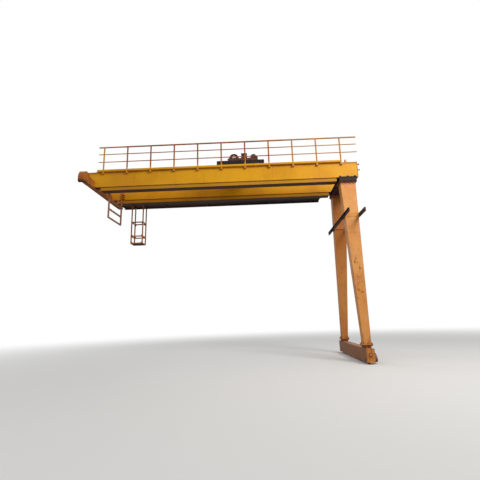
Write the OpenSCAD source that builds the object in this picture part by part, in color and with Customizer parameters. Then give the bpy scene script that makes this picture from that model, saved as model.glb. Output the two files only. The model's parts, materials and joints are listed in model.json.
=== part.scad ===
// Double-girder semi-gantry crane. The bridge stands on two splayed legs and a ground end carriage
// at one end, and rides a high runway rail at the other. All sizes are in millimetres.
// X runs along the bridge towards the legs, Y across it from the near girder to the far one, Z up.
// The origin is under the middle of the ground carriage beam.

/* [Bridge] */
// Distance from the ground rail to the runway rail
span = 11000; // [10000:100:12500]
// Height of the girder underside above the ground beam's underside
bridge_z = 7233; // [6600:10:8000]
// Distance between the centres of the two girders
girder_pitch = 1970; // [1800:10:2300]
// Width of a girder
girder_w = 400; // [340:10:440]
// Height of the girder's main box
box_h = 690; // [600:10:800]
// Height of the bottom chord under the main box
chord_h = 170; // [140:5:200]
// Height of the plate at the foot of the chord
chord_plate_h = 115; // [80:5:125]
// Depth of the recess above the chord plate
chord_recess = 30; // [15:1:50]
// Length of the girders past the runway rail
runway_overhang = 280; // [180:10:400]
// Drop from the underside of the main box to the runway rail
runway_drop = 62; // [50:1:90]
// Length of the girders past the ground rail
leg_overhang = 578; // [520:2:700]
// Distance from the runway rail to the start of the chord
chord_start = 373; // [300:1:450]
// Distance from the end of the chord to the ground rail
chord_end = 355; // [330:5:420]
// Radius of the girder's lower corner at the runway end
corner_r = 60; // [20:5:90]
// Thickness of the end plates on the girders
end_plate_t = 12; // [8:1:20]
// Distance that the end plates stand proud of the girder
end_plate_over = 6; // [3:1:10]
// Distance that the main box's flanges stand out from its webs
flange_out = 12; // [8:1:20]
// Thickness of the main box's flanges
box_flange_t = 14; // [10:1:20]

/* [Trolley rails] */
// Distance of each trolley rail inwards from the girder's centre
rail_offset = 90; // [60:5:100]
// Height of the trolley rail
rail_h = 60; // [50:1:75]
// Width of the rail's head
rail_head_w = 40; // [34:1:44]
// Width of the rail's foot
rail_foot_w = 80; // [70:1:90]
// Thickness of the rail's web
rail_web_t = 14; // [10:1:18]
// Thickness of the rail's foot
rail_foot_t = 10; // [8:1:12]
// Height of the rail's head
rail_head_h = 21; // [16:1:26]
// Distance from each girder end to the end of its rail
rail_end_gap = 60; // [40:5:100]
// Height of the end stops above the girder
stop_h = 225; // [190:5:260]
// Length of an end stop along the rail
stop_l = 130; // [90:5:160]
// Thickness of the stops' side plates beside the rail
stop_wall = 10; // [8:1:14]
// Distance from the ground rail line to the stop at the leg end
leg_stop_x = 130; // [100:5:200]
// Distance from the runway rail to the stop at the runway end
runway_stop_x = 120; // [60:5:200]

/* [Walkways] */
// Height of the railings
railing_h = 1100; // [1000:10:1200]
// Diameter of the posts and top rails
post_d = 64; // [48:1:70]
// Diameter of the two lower rails
mid_rail_d = 40; // [30:1:46]
// Distance between railing posts
post_pitch = 1043; // [950:1:1150]
// Number of posts on the near girder
near_posts = 11; // [9:1:11]
// Distance from the runway rail to the first post
first_post_x = 465; // [400:5:600]
// Length of the rails past the first post
rail_tail_start = 230; // [100:10:300]
// Length of the rails past the last post
rail_tail_end = 714; // [200:2:760]
// Overhang of the edge strip past the girder's outer web
strip_overhang = 100; // [90:2:130]
// Height of the edge strip
strip_h = 80; // [60:2:100]
// Thickness of the edge strip
strip_t = 8; // [6:1:12]
// Length of the edge strip past the first post; it stops just short of the last one
strip_end = 250; // [150:10:300]
// Width of the edge strip's seat on the girder
strip_seat = 60; // [40:5:80]
// Gap between a post and the plate beside it
post_gap = 4; // [2:1:8]
// Height of the clamp that fixes each post to the web
clamp_h = 110; // [80:5:140]
// Width of the clamp
clamp_w = 84; // [74:2:100]
// Distance from the girder's top down to the clamp's upper edge
clamp_top = 33; // [28:1:45]
// Width of the low platform beside the far girder
platform_w = 730; // [650:10:850]
// Height of the platform's frame
platform_h = 68; // [55:1:90]
// Width of the platform's edge channels and bearers
platform_edge = 50; // [40:2:60]
// Thickness of the platform's floor plate
floor_t = 8; // [5:1:12]
// Length of the platform short of the ground rail line
platform_end = 700; // [600:10:900]
// Width of the small bracket on the girder's end
bracket_w = 60; // [45:1:75]
// Height of the bracket
bracket_h = 280; // [240:5:320]
// Distance that the bracket's arms stand out
bracket_reach = 90; // [70:2:110]
// Distance from the girder's top to the bracket
bracket_top = 100; // [80:5:140]

/* [Legs] */
// Width of a leg along the bridge at its head
leg_head_w = 642; // [560:2:700]
// Width of a leg along the bridge at its foot
leg_foot_w = 259; // [220:1:300]
// Thickness of a leg across the bridge at its head
leg_head_t = 450; // [400:5:480]
// Thickness of a leg across the bridge at its foot
leg_foot_t = 350; // [300:5:400]
// Distance of the leg's head from the ground rail line
leg_head_x = 111; // [60:1:130]
// Distance of the leg's foot from the ground rail line
leg_foot_x = 10; // [0:1:30]
// Distance of the leg's foot from the middle of the crane
leg_foot_y = 1950; // [1700:10:2050]
// Distance of the leg's inner face inside the girder's inner web at its head
leg_inset = 50; // [30:2:70]
// Height of the head beam between the legs and the girders
head_beam_h = 204; // [160:2:240]
// Length of the head beam past each girder's outer web
head_beam_over = 100; // [60:5:160]
// Distance of the head beam's webs inside its flanges
head_web_in = 70; // [50:2:90]
// Distance of the head beam's end webs inside its flanges
head_end_in = 20; // [12:1:30]
// Thickness of the flanges on the head beam, the legs and the feet
flange_t = 20; // [16:1:28]
// Lip of the flanges around the legs
flange_lip = 55; // [40:1:70]
// Height of the gussets at the leg's head and foot
gusset_h = 130; // [90:5:180]
// Thickness of the gussets
gusset_t = 14; // [10:1:20]
// Height of a gusset's outer edge
gusset_edge = 20; // [14:1:26]
// Height of the foot pedestal on the ground beam
foot_h = 126; // [100:2:160]
// Distance of the pedestal's sides inside the leg's foot
foot_in_x = 30; // [20:1:40]
// Distance of the pedestal's front and back inside the leg's foot
foot_in_y = 20; // [14:1:40]
// Length of the pedestal's gussets along the ground beam
foot_gusset_l = 110; // [80:5:140]
// Height of the cross ties on the legs
tie_z = 5660; // [5000:10:6100]
// Height of a cross tie's section
tie_h = 150; // [120:5:180]
// Width of a cross tie's section
tie_w = 60; // [45:1:80]
// Thickness of a cross tie's flanges
tie_flange_t = 12; // [9:1:15]
// Thickness of a cross tie's web
tie_web_t = 10; // [8:1:14]
// Half length of the cross ties
tie_half = 2300; // [2000:10:2500]
// Height of the band around each leg
band_h = 170; // [120:5:240]
// Thickness of the band around each leg
band_t = 12; // [8:1:18]

/* [End carriages] */
// Distance between the wheels of the runway carriage
wheelbase = 3970; // [3700:10:4300]
// Distance between the wheels of the ground carriage
ground_base = 4400; // [4300:10:4700]
// Diameter of the wheel treads
wheel_d = 270; // [250:2:290]
// Height of the wheel flanges
wheel_flange = 20; // [14:1:24]
// Width of a wheel tread between its flanges
tread_w = 64; // [56:1:70]
// Thickness of a wheel flange
wheel_flange_t = 16; // [12:1:18]
// Chamfer on a wheel's flanges
wheel_chamfer = 5; // [3:1:7]
// Diameter of a wheel shaft
shaft_d = 60; // [50:1:70]
// Clearance of a wheel beside and above it in its pocket
wheel_gap = 12; // [8:1:16]
// Radial clearance of a shaft in its bore
shaft_fit = 0.1; // [0.05:0.01:0.1]
// Diameter of a bearing cap
cap_d = 130; // [110:2:150]
// Thickness of a bearing cap
cap_t = 18; // [12:1:24]
// Length of a shaft past its bearing cap
shaft_past = 8; // [5:1:12]
// Width of the ground beam
ground_w = 280; // [250:2:310]
// Height of the ground beam
ground_h = 458; // [400:2:500]
// Length of the ground beam past its wheel pockets
ground_end = 53; // [45:1:120]
// Height of the ground beam's underside above the rail
ground_clear = 45; // [36:1:60]
// Width of the runway beam
runway_w = 200; // [190:2:260]
// Height of the runway beam
runway_h = 300; // [270:5:340]
// Height of the runway beam's underside above the rail
runway_clear = 35; // [30:1:60]
// Radius of the hood over a runway wheel
hood_r = 340; // [310:5:380]
// Diameter of the buffers on the ground beam
buffer_d = 110; // [90:2:140]
// Length of the buffers
buffer_l = 70; // [50:2:100]
// Height of the buffers' axis above the ground beam's underside
buffer_z = 252; // [220:2:290]
// Thickness of the ground beam's end plates
cap_plate_t = 20; // [12:1:30]
// Distance that the ground beam's end plates stand proud
cap_plate_over = 10; // [6:1:16]

/* [Travel drives] */
// Thickness of a drive's gear case
case_t = 110; // [90:2:130]
// Radius of the gear case round the wheel shaft
case_r = 105; // [90:1:115]
// Distance from the wheel shaft to the motor shaft
case_l = 190; // [160:5:230]
// Height of the motor shaft above the wheel shaft
case_rise = 120; // [90:5:140]
// Thickness of a gear case's outer wall
case_wall = 9; // [7:1:12]
// Diameter of a travel motor
travel_motor_d = 150; // [130:2:180]
// Length of a travel motor
travel_motor_l = 260; // [200:5:320]
// Length of the neck between a gear case and its motor
motor_neck = 50; // [30:2:60]
// Gap between a travel motor and the beam beside it
motor_gap = 8; // [6:1:14]

/* [Trolley] */
// Position of the trolley's middle from the ground rail line
trolley_x = 4496; // [4000:2:6000]
// Length of the trolley along the bridge
trolley_l = 2110; // [2000:10:2300]
// Width of a trolley side beam
side_beam_w = 130; // [124:1:150]
// Height of a trolley side beam
side_beam_h = 297; // [270:1:320]
// Height of the side beams' underside above the rail
side_beam_clear = 37; // [30:1:45]
// Distance between the trolley's wheels
trolley_base = 1500; // [1350:10:1600]
// Diameter of the trolley's wheel treads
trolley_wheel_d = 200; // [190:2:220]
// Width of a trolley wheel's tread
trolley_tread_w = 54; // [51:1:58]
// Height of the trolley wheels' flanges
trolley_flange = 14; // [10:1:16]
// Thickness of the trolley wheels' flanges
trolley_flange_t = 12; // [9:1:13]
// Diameter of the trolley's axles
axle_d = 50; // [40:1:56]
// Length of the axles past the side beams
axle_past = 12; // [8:1:20]
// Clearance round a trolley wheel in its pocket
trolley_gap = 10; // [8:1:14]
// Clearance beside a trolley wheel in its pocket
trolley_side_gap = 8; // [6:1:10]
// Width of a cross beam
cross_beam_w = 120; // [90:2:140]
// Height of a cross beam
cross_beam_h = 150; // [110:5:170]
// Distance of the end cross beams from the trolley's ends
cross_beam_end = 100; // [70:5:110]
// Distance of the middle cross beam from the trolley's middle
cross_beam_mid = 290; // [280:5:340]
// Thickness of the deck plate
deck_t = 10; // [8:1:16]
// Distance of the deck plate's edges from the trolley's ends
deck_end = 40; // [20:5:60]
// Gap between the drum and the deck round it
deck_gap = 20; // [14:1:30]
// Length of the deck's opening past the middle of the hook block
deck_past_block = 94; // [85:1:100]
// Radius of the trolley drive's gear case
trolley_case_r = 85; // [75:1:90]
// Width of the trolley drive's gear case
trolley_case_w = 90; // [70:1:110]
// Distance from the axle to the trolley motor's shaft along the bridge
trolley_motor_x = 75; // [65:1:85]
// Height of the trolley motor's shaft above the axle
trolley_motor_z = 30; // [20:1:40]
// Diameter of the trolley motor
trolley_motor_d = 130; // [110:2:140]
// Length of the trolley motor
trolley_motor_l = 280; // [220:5:320]

/* [Hoist] */
// Distance of the drum's shaft from the trolley's middle
drum_x = 310; // [280:5:340]
// Height of the drum's shaft above the deck
drum_z = 278; // [260:2:300]
// Diameter of the drum's barrel
barrel_d = 350; // [320:2:370]
// Diameter of the drum's flanges
drum_flange_d = 440; // [420:2:460]
// Diameter of the drum's shaft
drum_shaft_d = 80; // [60:2:90]
// Length of the drum's shaft past its near flange
shaft_near = 110; // [104:1:125]
// Length of the drum's shaft past its far flange, into the gearbox
shaft_far = 60; // [52:1:64]
// Width of the bearing at the drum's near end
bearing_w = 60; // [50:1:70]
// Distance from the drum's near flange to the bearing's far edge
bearing_end = 100; // [90:1:102]
// Diameter of the bearing's housing
bearing_d = 180; // [150:2:200]
// Length of the bearing's base
bearing_base_l = 300; // [260:5:340]
// Height of the bearing's base
bearing_base_h = 30; // [22:1:40]
// Length between the drum's flanges
drum_l = 1040; // [980:10:1050]
// Thickness of the drum's flanges
drum_flange_t = 20; // [14:1:26]
// Diameter of the rope
rope_d = 14; // [10:1:16]
// Width of the bare middle of the drum
drum_bare = 190; // [160:2:240]
// Width of the gearbox
gearbox_w = 230; // [190:5:260]
// Gap between the drum and the gearbox
gearbox_gap = 40; // [34:1:46]
// Distance that the gearbox's flanges stand proud
gearbox_lip = 15; // [10:1:20]
// Thickness of each flange on the gearbox's joint
gearbox_joint_t = 12; // [9:1:16]
// Thickness of the gearbox's base
gearbox_base_t = 25; // [18:1:32]
// Distance from the drum shaft to the motor shaft
gear_l = 900; // [860:5:930]
// Radius of the gearbox at the drum shaft
gearbox_r1 = 235; // [200:5:240]
// Radius of the gearbox at the motor shaft
gearbox_r2 = 150; // [130:5:170]
// Height of the machinery bed on the deck
bed_h = 95; // [80:5:100]
// Height of the kerb along the bed's outer edge
kerb_h = 155; // [130:5:170]
// Thickness of the kerb
kerb_t = 20; // [12:1:28]
// Width of the machinery bed
bed_w = 250; // [220:5:255]
// Length of the bed past the drum's shaft
bed_left_l = 265; // [240:5:300]
// Length of the bed past the motor's shaft
bed_right_l = 195; // [170:5:220]
// Diameter of the hoist motor
motor_d = 270; // [240:5:275]
// Height of the drum's shaft above the motor's shaft
motor_drop = 40; // [35:1:50]
// Length of the hoist motor
motor_l = 450; // [400:5:480]
// Distance of the motor's free end from the side beam
motor_y = 110; // [90:5:150]
// Width of the hoist motor's feet
motor_foot_w = 40; // [30:1:50]
// Diameter of the shaft from the motor to the gearbox
drive_shaft_d = 60; // [45:1:70]
// Diameter of the brake drum on that shaft
brake_d = 250; // [220:5:270]
// Width of the brake drum
brake_w = 80; // [60:2:100]
// Distance of the brake drum from the gearbox
brake_y = 130; // [110:5:160]
// Width of the motor's terminal box
terminal_w = 140; // [110:2:170]
// Distance that the terminal box stands out from the motor
terminal_out = 45; // [30:1:55]
// Distance of the switch box from the trolley's middle
switch_x = 40; // [20:5:60]
// Distance of the switch box from the side beam
switch_y = 30; // [20:5:45]
// Length of the switch box
switch_l = 250; // [200:5:280]
// Width of the switch box
switch_w = 200; // [160:5:205]
// Height of the switch box
switch_h = 285; // [250:5:320]
// Diameter of the sheaves' rope groove
sheave_d = 272; // [260:2:290]
// Outer diameter of the sheaves
sheave_rim_d = 308; // [300:2:330]
// Distance of each sheave from the middle of the hook block
sheave_y = 78; // [72:1:90]
// Height of the sheave shaft under the deck
block_drop = 440; // [420:5:480]
// Thickness of the hook block's plates
cheek_t = 14; // [10:1:18]
// Width of each sheave in the hook block
sheave_w = 40; // [34:1:44]
// Gap between a sheave and the plate beside it
cheek_gap = 8; // [5:1:12]
// Radius of the plates round the sheave shaft
cheek_r = 105; // [90:1:120]
// Diameter of the sheave shaft
sheave_shaft_d = 60; // [46:1:70]
// Depth of the crosshead's underside below the sheave shaft
crosshead_drop = 250; // [235:1:280]
// Height of the crosshead
crosshead_h = 70; // [56:1:76]
// Width of the crosshead
crosshead_w = 110; // [90:2:130]
// Length of the hook's neck
hook_neck = 70; // [55:1:90]
// Width of the fixed sheave
top_sheave_w = 30; // [26:1:36]
// Depth of the fixed sheave's shaft under the deck
top_sheave_drop = 125; // [115:1:135]
// Diameter of the fixed sheave's pin
top_pin_d = 30; // [24:1:40]
// Half length of the fixed sheave's bracket
top_bracket_x = 40; // [34:1:48]
// Thickness of the hook's round section
hook_t = 46; // [38:1:54]
// Inner radius of the hook's bowl
hook_r = 46; // [40:1:54]

/* [Guard frame and basket] */
// Distance of the guard frame from the runway rail
guard_x = 575; // [480:5:700]
// Width of the guard frame's bars
guard_bar = 60; // [40:1:70]
// Drop of the guard frame below the girders
guard_drop = 1111; // [900:1:1300]
// Height of the guard frame's posts above the girder underside
guard_rise = 500; // [380:10:600]
// Distance from the runway rail to the basket
basket_x = 940; // [850:5:1200]
// Length of the basket along the bridge
basket_l = 600; // [520:10:700]
// Depth of the basket across the bridge
basket_w = 560; // [500:10:600]
// Distance of the basket from the far girder
basket_gap = 80; // [60:2:100]
// Thickness of the basket's floor
basket_floor_t = 30; // [20:1:40]
// Drop of the basket below the platform
basket_drop = 1911; // [1700:1:2100]
// Width of the basket's bars
basket_bar = 50; // [40:1:60]
// Height of the basket's knee rail
knee_h = 350; // [300:5:450]
// Height of the basket's top rail
basket_rail_h = 1100; // [1000:10:1200]

/* [Hidden] */
$fn = 48;

girder_colour = [0.87, 0.6, 0.12];
carriage_colour = [0.82, 0.45, 0.18];
leg_colour = [0.85, 0.56, 0.32];
railing_colour = [0.66, 0.4, 0.24];
dark_colour = [0.22, 0.17, 0.18];
trolley_colour = [0.13, 0.13, 0.14];
steel_colour = [0.55, 0.55, 0.56];
bed_colour = [0.45, 0.33, 0.3];

// Gap left between round pieces that lie together
seat = 0.3;
runway_x = -span;
girder_y = girder_pitch / 2;
outer_y = girder_y + girder_w / 2;
inner_y = girder_y - girder_w / 2;
box_z = bridge_z + chord_h;
girder_top = box_z + box_h;
girder_left = runway_x - runway_overhang;
chord_left = runway_x + chord_start;
chord_right = -chord_end;

rail_y = girder_y - rail_offset;
rail_top = girder_top + rail_h;
rail_left = girder_left + rail_end_gap;
rail_right = leg_overhang - rail_end_gap;
stop_w = rail_foot_w + 2 * stop_wall;

post_y = outer_y + strip_overhang - strip_t - post_d / 2 - post_gap;
post_left = runway_x + first_post_x;
post_right = post_left + (near_posts - 1) * post_pitch;
far_posts = floor((-platform_end - post_left - post_d) / post_pitch) + 1;
floor_z = bridge_z + platform_h;
platform_y = outer_y + platform_w;
far_post_y = platform_y - post_d / 2 - post_gap;

runway_rail_z = box_z - runway_drop;
runway_low = runway_rail_z + runway_clear;
runway_top = runway_low + runway_h;
runway_axle_z = runway_rail_z + wheel_d / 2;
ground_axle_z = wheel_d / 2 - ground_clear;
wheel_y = wheelbase / 2;
ground_wheel_y = ground_base / 2;
// Length of a driven shaft inside its gear case
case_shaft = case_t - case_wall - 1;
wheel_out_r = wheel_d / 2 + wheel_flange;
wheel_w = tread_w + 2 * wheel_flange_t;
pocket_r = wheel_out_r + wheel_gap;
ground_half = ground_wheel_y + pocket_r + ground_end;
pocket_w = wheel_w + 2 * wheel_gap;

leg_top_z = box_z - head_beam_h;
leg_bottom_z = ground_h + foot_h + flange_t;
head_beam_left = leg_head_x - leg_head_w / 2 - flange_lip;
head_beam_right = leg_head_x + leg_head_w / 2 + flange_lip;
leg_head_y = inner_y - leg_inset + leg_head_t / 2;
// Value at a height on the leg, between its values at the foot and at the head
function leg_mix(foot, head, z) =
  foot + (head - foot) * (z - leg_bottom_z) / (leg_top_z - flange_t - leg_bottom_z);
// Places of the leg's faces at a height: front (-1) or back (1), and its two sides in X
function leg_face(z, side) =
  leg_mix(-leg_foot_y + side * leg_foot_t / 2, -leg_head_y + side * leg_head_t / 2, z);
function leg_side(z, side) =
  leg_mix(leg_foot_x + side * leg_foot_w / 2, leg_head_x + side * leg_head_w / 2, z);

trolley_mid = -trolley_x;
side_beam_low = rail_top + side_beam_clear;
deck_low = side_beam_low + side_beam_h;
deck_top = deck_low + deck_t;
trolley_axle_z = rail_top + trolley_wheel_d / 2 + seat;
trolley_pocket_r = trolley_wheel_d / 2 + trolley_flange + trolley_gap;
trolley_wheel_w = trolley_tread_w + 2 * trolley_flange_t;
trolley_pocket_w = trolley_wheel_w + 2 * trolley_side_gap;
frame_y = rail_y - side_beam_w / 2;

drum_axis_x = trolley_mid - drum_x;
drum_axis_z = deck_top + drum_z;
rope_x = drum_axis_x + barrel_d / 2 + rope_d / 2 + seat;
block_x = rope_x + (sheave_d + rope_d) / 2 + seat;
block_z = deck_low - block_drop;
gearbox_y = drum_l / 2 + drum_flange_t + gearbox_gap;
motor_x = drum_axis_x + gear_l;
bed_top = deck_top + bed_h;
bed_y = frame_y - bed_w;
motor_near = -frame_y + motor_y;
motor_z = drum_axis_z - motor_drop;

// Box between its lowest and its highest corner
module block(lo, hi) translate(lo) cube(hi - lo);

// Round bars along each axis, from a start point
module bar_x(start, l, d) translate(start) rotate([0, 90, 0]) cylinder(d = d, h = l);
module bar_y(start, l, d) translate(start) rotate([-90, 0, 0]) cylinder(d = d, h = l);
module bar_z(start, l, d) translate(start) cylinder(d = d, h = l);

// Copies a piece of the near side to the far side
module far_side() mirror([0, 1, 0]) children();

// Outline in X and Z drawn out along Y between two values
module side_profile(y0, y1) translate([0, y1, 0]) rotate([90, 0, 0]) linear_extrude(y1 - y0) children();

// Outline in Y and Z drawn out along X between two values
module end_profile(x0, x1) translate([x0, 0, 0]) rotate([90, 0, 90]) linear_extrude(x1 - x0) children();

// Main box of a girder, notched over the runway beam, with a recessed bottom chord
module girder() {
  notch_x = runway_x + runway_w / 2 + seat;
  side_profile(-outer_y, -inner_y) {
    difference() {
      translate([girder_left, box_z]) square([leg_overhang - girder_left, box_h]);
      translate([girder_left - 1, box_z - 1])
        square([notch_x - girder_left + 1, runway_top - box_z + 1]);
      translate([notch_x - 1, box_z - 1]) difference() {
        square(corner_r + 1);
        translate([corner_r + 1, corner_r + 1]) circle(corner_r);
      }
    }
  }
  block([chord_left, -outer_y, bridge_z], [chord_right, -inner_y, bridge_z + chord_plate_h]);
  block([chord_left, -outer_y + chord_recess, bridge_z],
    [chord_right, -inner_y - chord_recess, box_z + 1]);
  // Edges of the box's flanges; the lower one starts past the guard frame on the inside
  block([girder_left, -outer_y - flange_out, girder_top - box_flange_t],
    [leg_overhang, -inner_y + flange_out, girder_top]);
  block([chord_left, -outer_y - flange_out, box_z], [leg_overhang, -inner_y - 1, box_z + box_flange_t]);
  block([runway_x + guard_x + 2 * guard_bar, -inner_y - 1, box_z],
    [leg_overhang, -inner_y + flange_out, box_z + box_flange_t]);
  // End plate that stands proud of the flanges
  block([leg_overhang - 1, -outer_y - flange_out - end_plate_over, box_z],
    [leg_overhang + end_plate_t, -inner_y + flange_out + end_plate_over, girder_top]);
}

module near_girder() color(girder_colour) girder();
module far_girder() color(girder_colour) far_side() girder();

// Flat-bottomed rail with a head, a web and a foot
module trolley_rail() {
  translate([0, -rail_y, girder_top]) end_profile(rail_left, rail_right) {
    translate([-rail_foot_w / 2, 0]) square([rail_foot_w, rail_foot_t]);
    translate([-rail_web_t / 2, 0]) square([rail_web_t, rail_h - 1]);
    translate([-rail_head_w / 2, rail_h - rail_head_h]) square([rail_head_w, rail_head_h]);
  }
}

module trolley_rails() color(steel_colour) {
  trolley_rail();
  far_side() trolley_rail();
}

// Braced stop that straddles the rail at each end of the trolley's way
module rail_stop(x, facing) {
  translate([x, -rail_y, girder_top]) scale([facing, 1, 1]) difference() {
    translate([0, stop_w / 2, 0]) rotate([90, 0, 0]) linear_extrude(stop_w)
      polygon([[0, 0], [stop_l, 0], [stop_l * 0.35, stop_h], [0, stop_h]]);
    translate([-1, -rail_foot_w / 2 - seat, -1])
      cube([stop_l + 2, rail_foot_w + 2 * seat, rail_h + seat + 1]);
  }
}

module trolley_stops() color(girder_colour) for (side = [-1, 1]) scale([1, side, 1]) {
  rail_stop(leg_stop_x, 1);
  rail_stop(runway_x + runway_stop_x, -1);
}

// Angle along the top edge, with a hole for each post but the last
module near_edge_strip() color(girder_colour) difference() {
  left = post_left - strip_end;
  right = post_right - post_d / 2 - post_gap;
  union() {
    block([left, -outer_y - strip_overhang, girder_top],
      [right, -outer_y + strip_seat, girder_top + strip_t]);
    block([left, -outer_y - strip_overhang, girder_top],
      [right, -outer_y - strip_overhang + strip_t, girder_top + strip_h]);
  }
  for (i = [0 : near_posts - 2])
    bar_z([post_left + i * post_pitch, -post_y, girder_top - 1], strip_t + 2, post_d + 2 * seat);
}

// Posts, a top rail and two lower rails
module railing(y, base, count, tail_a, tail_b) {
  last = post_left + (count - 1) * post_pitch;
  run = last - post_left + tail_a + tail_b;
  for (i = [0 : count - 1])
    bar_z([post_left + i * post_pitch, y, base], railing_h - post_d / 2, post_d);
  bar_x([post_left - tail_a, y, base + railing_h - post_d / 2], run, post_d);
  for (share = [1 / 3, 2 / 3])
    bar_x([post_left - tail_a, y, base + railing_h * share], run, mid_rail_d);
}

module near_railing() color(railing_colour) {
  railing(-post_y, girder_top + strip_h, near_posts, rail_tail_start, rail_tail_end);
  for (i = [0 : near_posts - 1]) translate([post_left + i * post_pitch, 0, girder_top]) {
    bar_z([0, -post_y, -clamp_h], clamp_h + strip_h + 1, post_d);
    block([-clamp_w / 2, -post_y - post_d / 2, -clamp_h], [clamp_w / 2, -outer_y, -clamp_top]);
  }
}

// Floor plate on a frame of edge channels and cross bearers
module far_platform() color(dark_colour) {
  left = chord_left;
  right = -platform_end;
  edge = platform_edge;
  block([left, outer_y, floor_z - floor_t], [right, platform_y, floor_z]);
  for (y = [outer_y, platform_y - edge]) block([left, y, bridge_z], [right, y + edge, floor_z - 1]);
  for (i = [0 : far_posts - 1]) translate([post_left + i * post_pitch, 0, 0])
    block([-edge / 2, outer_y + 1, bridge_z], [edge / 2, platform_y - 1, floor_z - 1]);
  for (x = [0, basket_l - basket_bar]) translate([runway_x + basket_x + x, 0, 0])
    block([0, outer_y + 1, bridge_z], [basket_bar, platform_y - 1, floor_z - 1]);
}

module far_railing() color(railing_colour)
  railing(far_post_y, floor_z, far_posts, post_d, post_d);

// Small bent bracket on the end of the near girder
module end_bracket() color(dark_colour) {
  arm_h = bracket_h * 0.09;
  low = girder_top - bracket_top - bracket_h;
  translate([leg_overhang + end_plate_t, -outer_y + flange_out, 0]) {
    block([0, 0, low], [strip_t, bracket_w, low + bracket_h]);
    for (z = [low, low + bracket_h - arm_h]) block([0, 0, z], [bracket_reach, bracket_w, z + arm_h]);
  }
}

// Wheel with two flanges on its shaft, turned about X, from the middle of the wheel
module shaft_wheel(shaft_a, shaft_b) {
  r = wheel_d / 2;
  half = tread_w / 2;
  edge = half + wheel_flange_t;
  c = wheel_chamfer;
  rotate([0, 90, 0]) {
    rotate_extrude($fn = 96) polygon([
      [0, -edge], [wheel_out_r - c, -edge], [wheel_out_r, -edge + c], [wheel_out_r, -half - c], [r, -half],
      [r, half], [wheel_out_r, half + c], [wheel_out_r, edge - c], [wheel_out_r - c, edge], [0, edge]
    ]);
    translate([0, 0, -shaft_a]) cylinder(d = shaft_d, h = shaft_a + shaft_b);
  }
}

// Space for a wheel in its carriage, with a bore right through for its shaft
module wheel_pocket(reach) {
  rotate([0, 90, 0]) {
    translate([0, 0, -pocket_w / 2]) cylinder(r = pocket_r, h = pocket_w);
    translate([0, -pocket_r, -pocket_w / 2]) cube([2 * pocket_r, 2 * pocket_r, pocket_w]);
    translate([0, 0, -reach]) cylinder(r = shaft_d / 2 + shaft_fit, h = 2 * reach);
  }
}

// Box beam between the two runway wheel boxes
module runway_beam() color(carriage_colour)
  block([runway_x - runway_w / 2, -wheel_y + hood_r, runway_low],
    [runway_x + runway_w / 2, wheel_y - hood_r, runway_top]);

// Rounded box that carries and hoods one runway wheel
module runway_wheel_box() {
  translate([runway_x, -wheel_y, runway_axle_z]) difference() {
    union() {
      end_profile(-runway_w / 2, runway_w / 2) {
        intersection() {
          circle(hood_r, $fn = 96);
          translate([-hood_r, runway_low - runway_axle_z]) square([2 * hood_r, 2 * hood_r]);
        }
        translate([0, runway_low - runway_axle_z]) square([hood_r, runway_h]);
      }
      for (x = [-runway_w / 2 - cap_t, runway_w / 2 - 1])
        bar_x([x, 0, 0], cap_t + 1, cap_d);
    }
    wheel_pocket(runway_w);
  }
}

module runway_wheel_box_near() color(carriage_colour) runway_wheel_box();
module runway_wheel_box_far() color(carriage_colour) far_side() runway_wheel_box();

module runway_wheel_near() color(steel_colour) translate([runway_x, -wheel_y, runway_axle_z])
  shaft_wheel(runway_w / 2 + cap_t + case_shaft, runway_w / 2 + cap_t + shaft_past);
module runway_wheel_far() color(steel_colour) translate([runway_x, wheel_y, runway_axle_z])
  shaft_wheel(runway_w / 2 + cap_t + shaft_past, runway_w / 2 + cap_t + shaft_past);

// Flat gear case hung on a wheel shaft, with its motor towards the middle of the crane
module travel_drive() {
  shift = sqrt(pow(case_l, 2) - pow(case_rise, 2));
  small_r = case_r * 0.8;
  motor_side = travel_motor_d / 2 - cap_t + motor_gap;
  difference() {
    union() {
      end_profile(0, case_t) {
        circle(case_r);
        translate([shift, case_rise]) circle(small_r);
        polygon([[-case_r * 0.5, case_r * 0.86], [shift - small_r * 0.5, case_rise + small_r * 0.86],
          [shift + small_r * 0.5, case_rise - small_r * 0.86], [case_r * 0.5, -case_r * 0.86]]);
      }
      translate([motor_side, shift, case_rise]) {
        bar_y([0, case_r * 0.5, 0], motor_neck + 1, travel_motor_d * 0.6);
        bar_y([0, case_r * 0.5 + motor_neck, 0], travel_motor_l, travel_motor_d);
      }
    }
    bar_x([-1, 0, 0], case_shaft + 2, shaft_d + 2 * shaft_fit);
  }
}

module runway_drive() color(dark_colour)
  translate([runway_x - runway_w / 2 - cap_t, -wheel_y, runway_axle_z]) mirror([1, 0, 0]) travel_drive();

// Deep plate beam that ties the leg heads and carries the girder ends
module head_beam() color(dark_colour) {
  end_y = outer_y + head_beam_over;
  web_end = end_y - head_end_in;
  rib = head_web_in / 7;
  for (z = [leg_top_z, box_z - flange_t])
    block([head_beam_left, -end_y, z], [head_beam_right, end_y, z + flange_t]);
  block([head_beam_left + head_web_in, -web_end, leg_top_z + 1],
    [head_beam_right - head_web_in, web_end, box_z - 1]);
  for (y = [-web_end, -inner_y, inner_y, web_end - gusset_t])
    block([head_beam_left + rib, y, leg_top_z + 1], [head_beam_right - rib, y + gusset_t, box_z - 1]);
}

// Box that tapers and leans from one level rectangle to another, each given as its middle and size
module tapered_box(low, low_size, high, high_size) {
  function corners(mid, size) = [for (s = [[-1, -1], [1, -1], [1, 1], [-1, 1]])
    mid + [s[0] * size[0] / 2, s[1] * size[1] / 2, 0]];
  polyhedron(concat(corners(low, low_size), corners(high, high_size)),
    [[0, 1, 2, 3], [4, 5, 1, 0], [7, 6, 5, 4], [5, 6, 2, 1], [6, 7, 3, 2], [7, 4, 0, 3]]);
}

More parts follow.
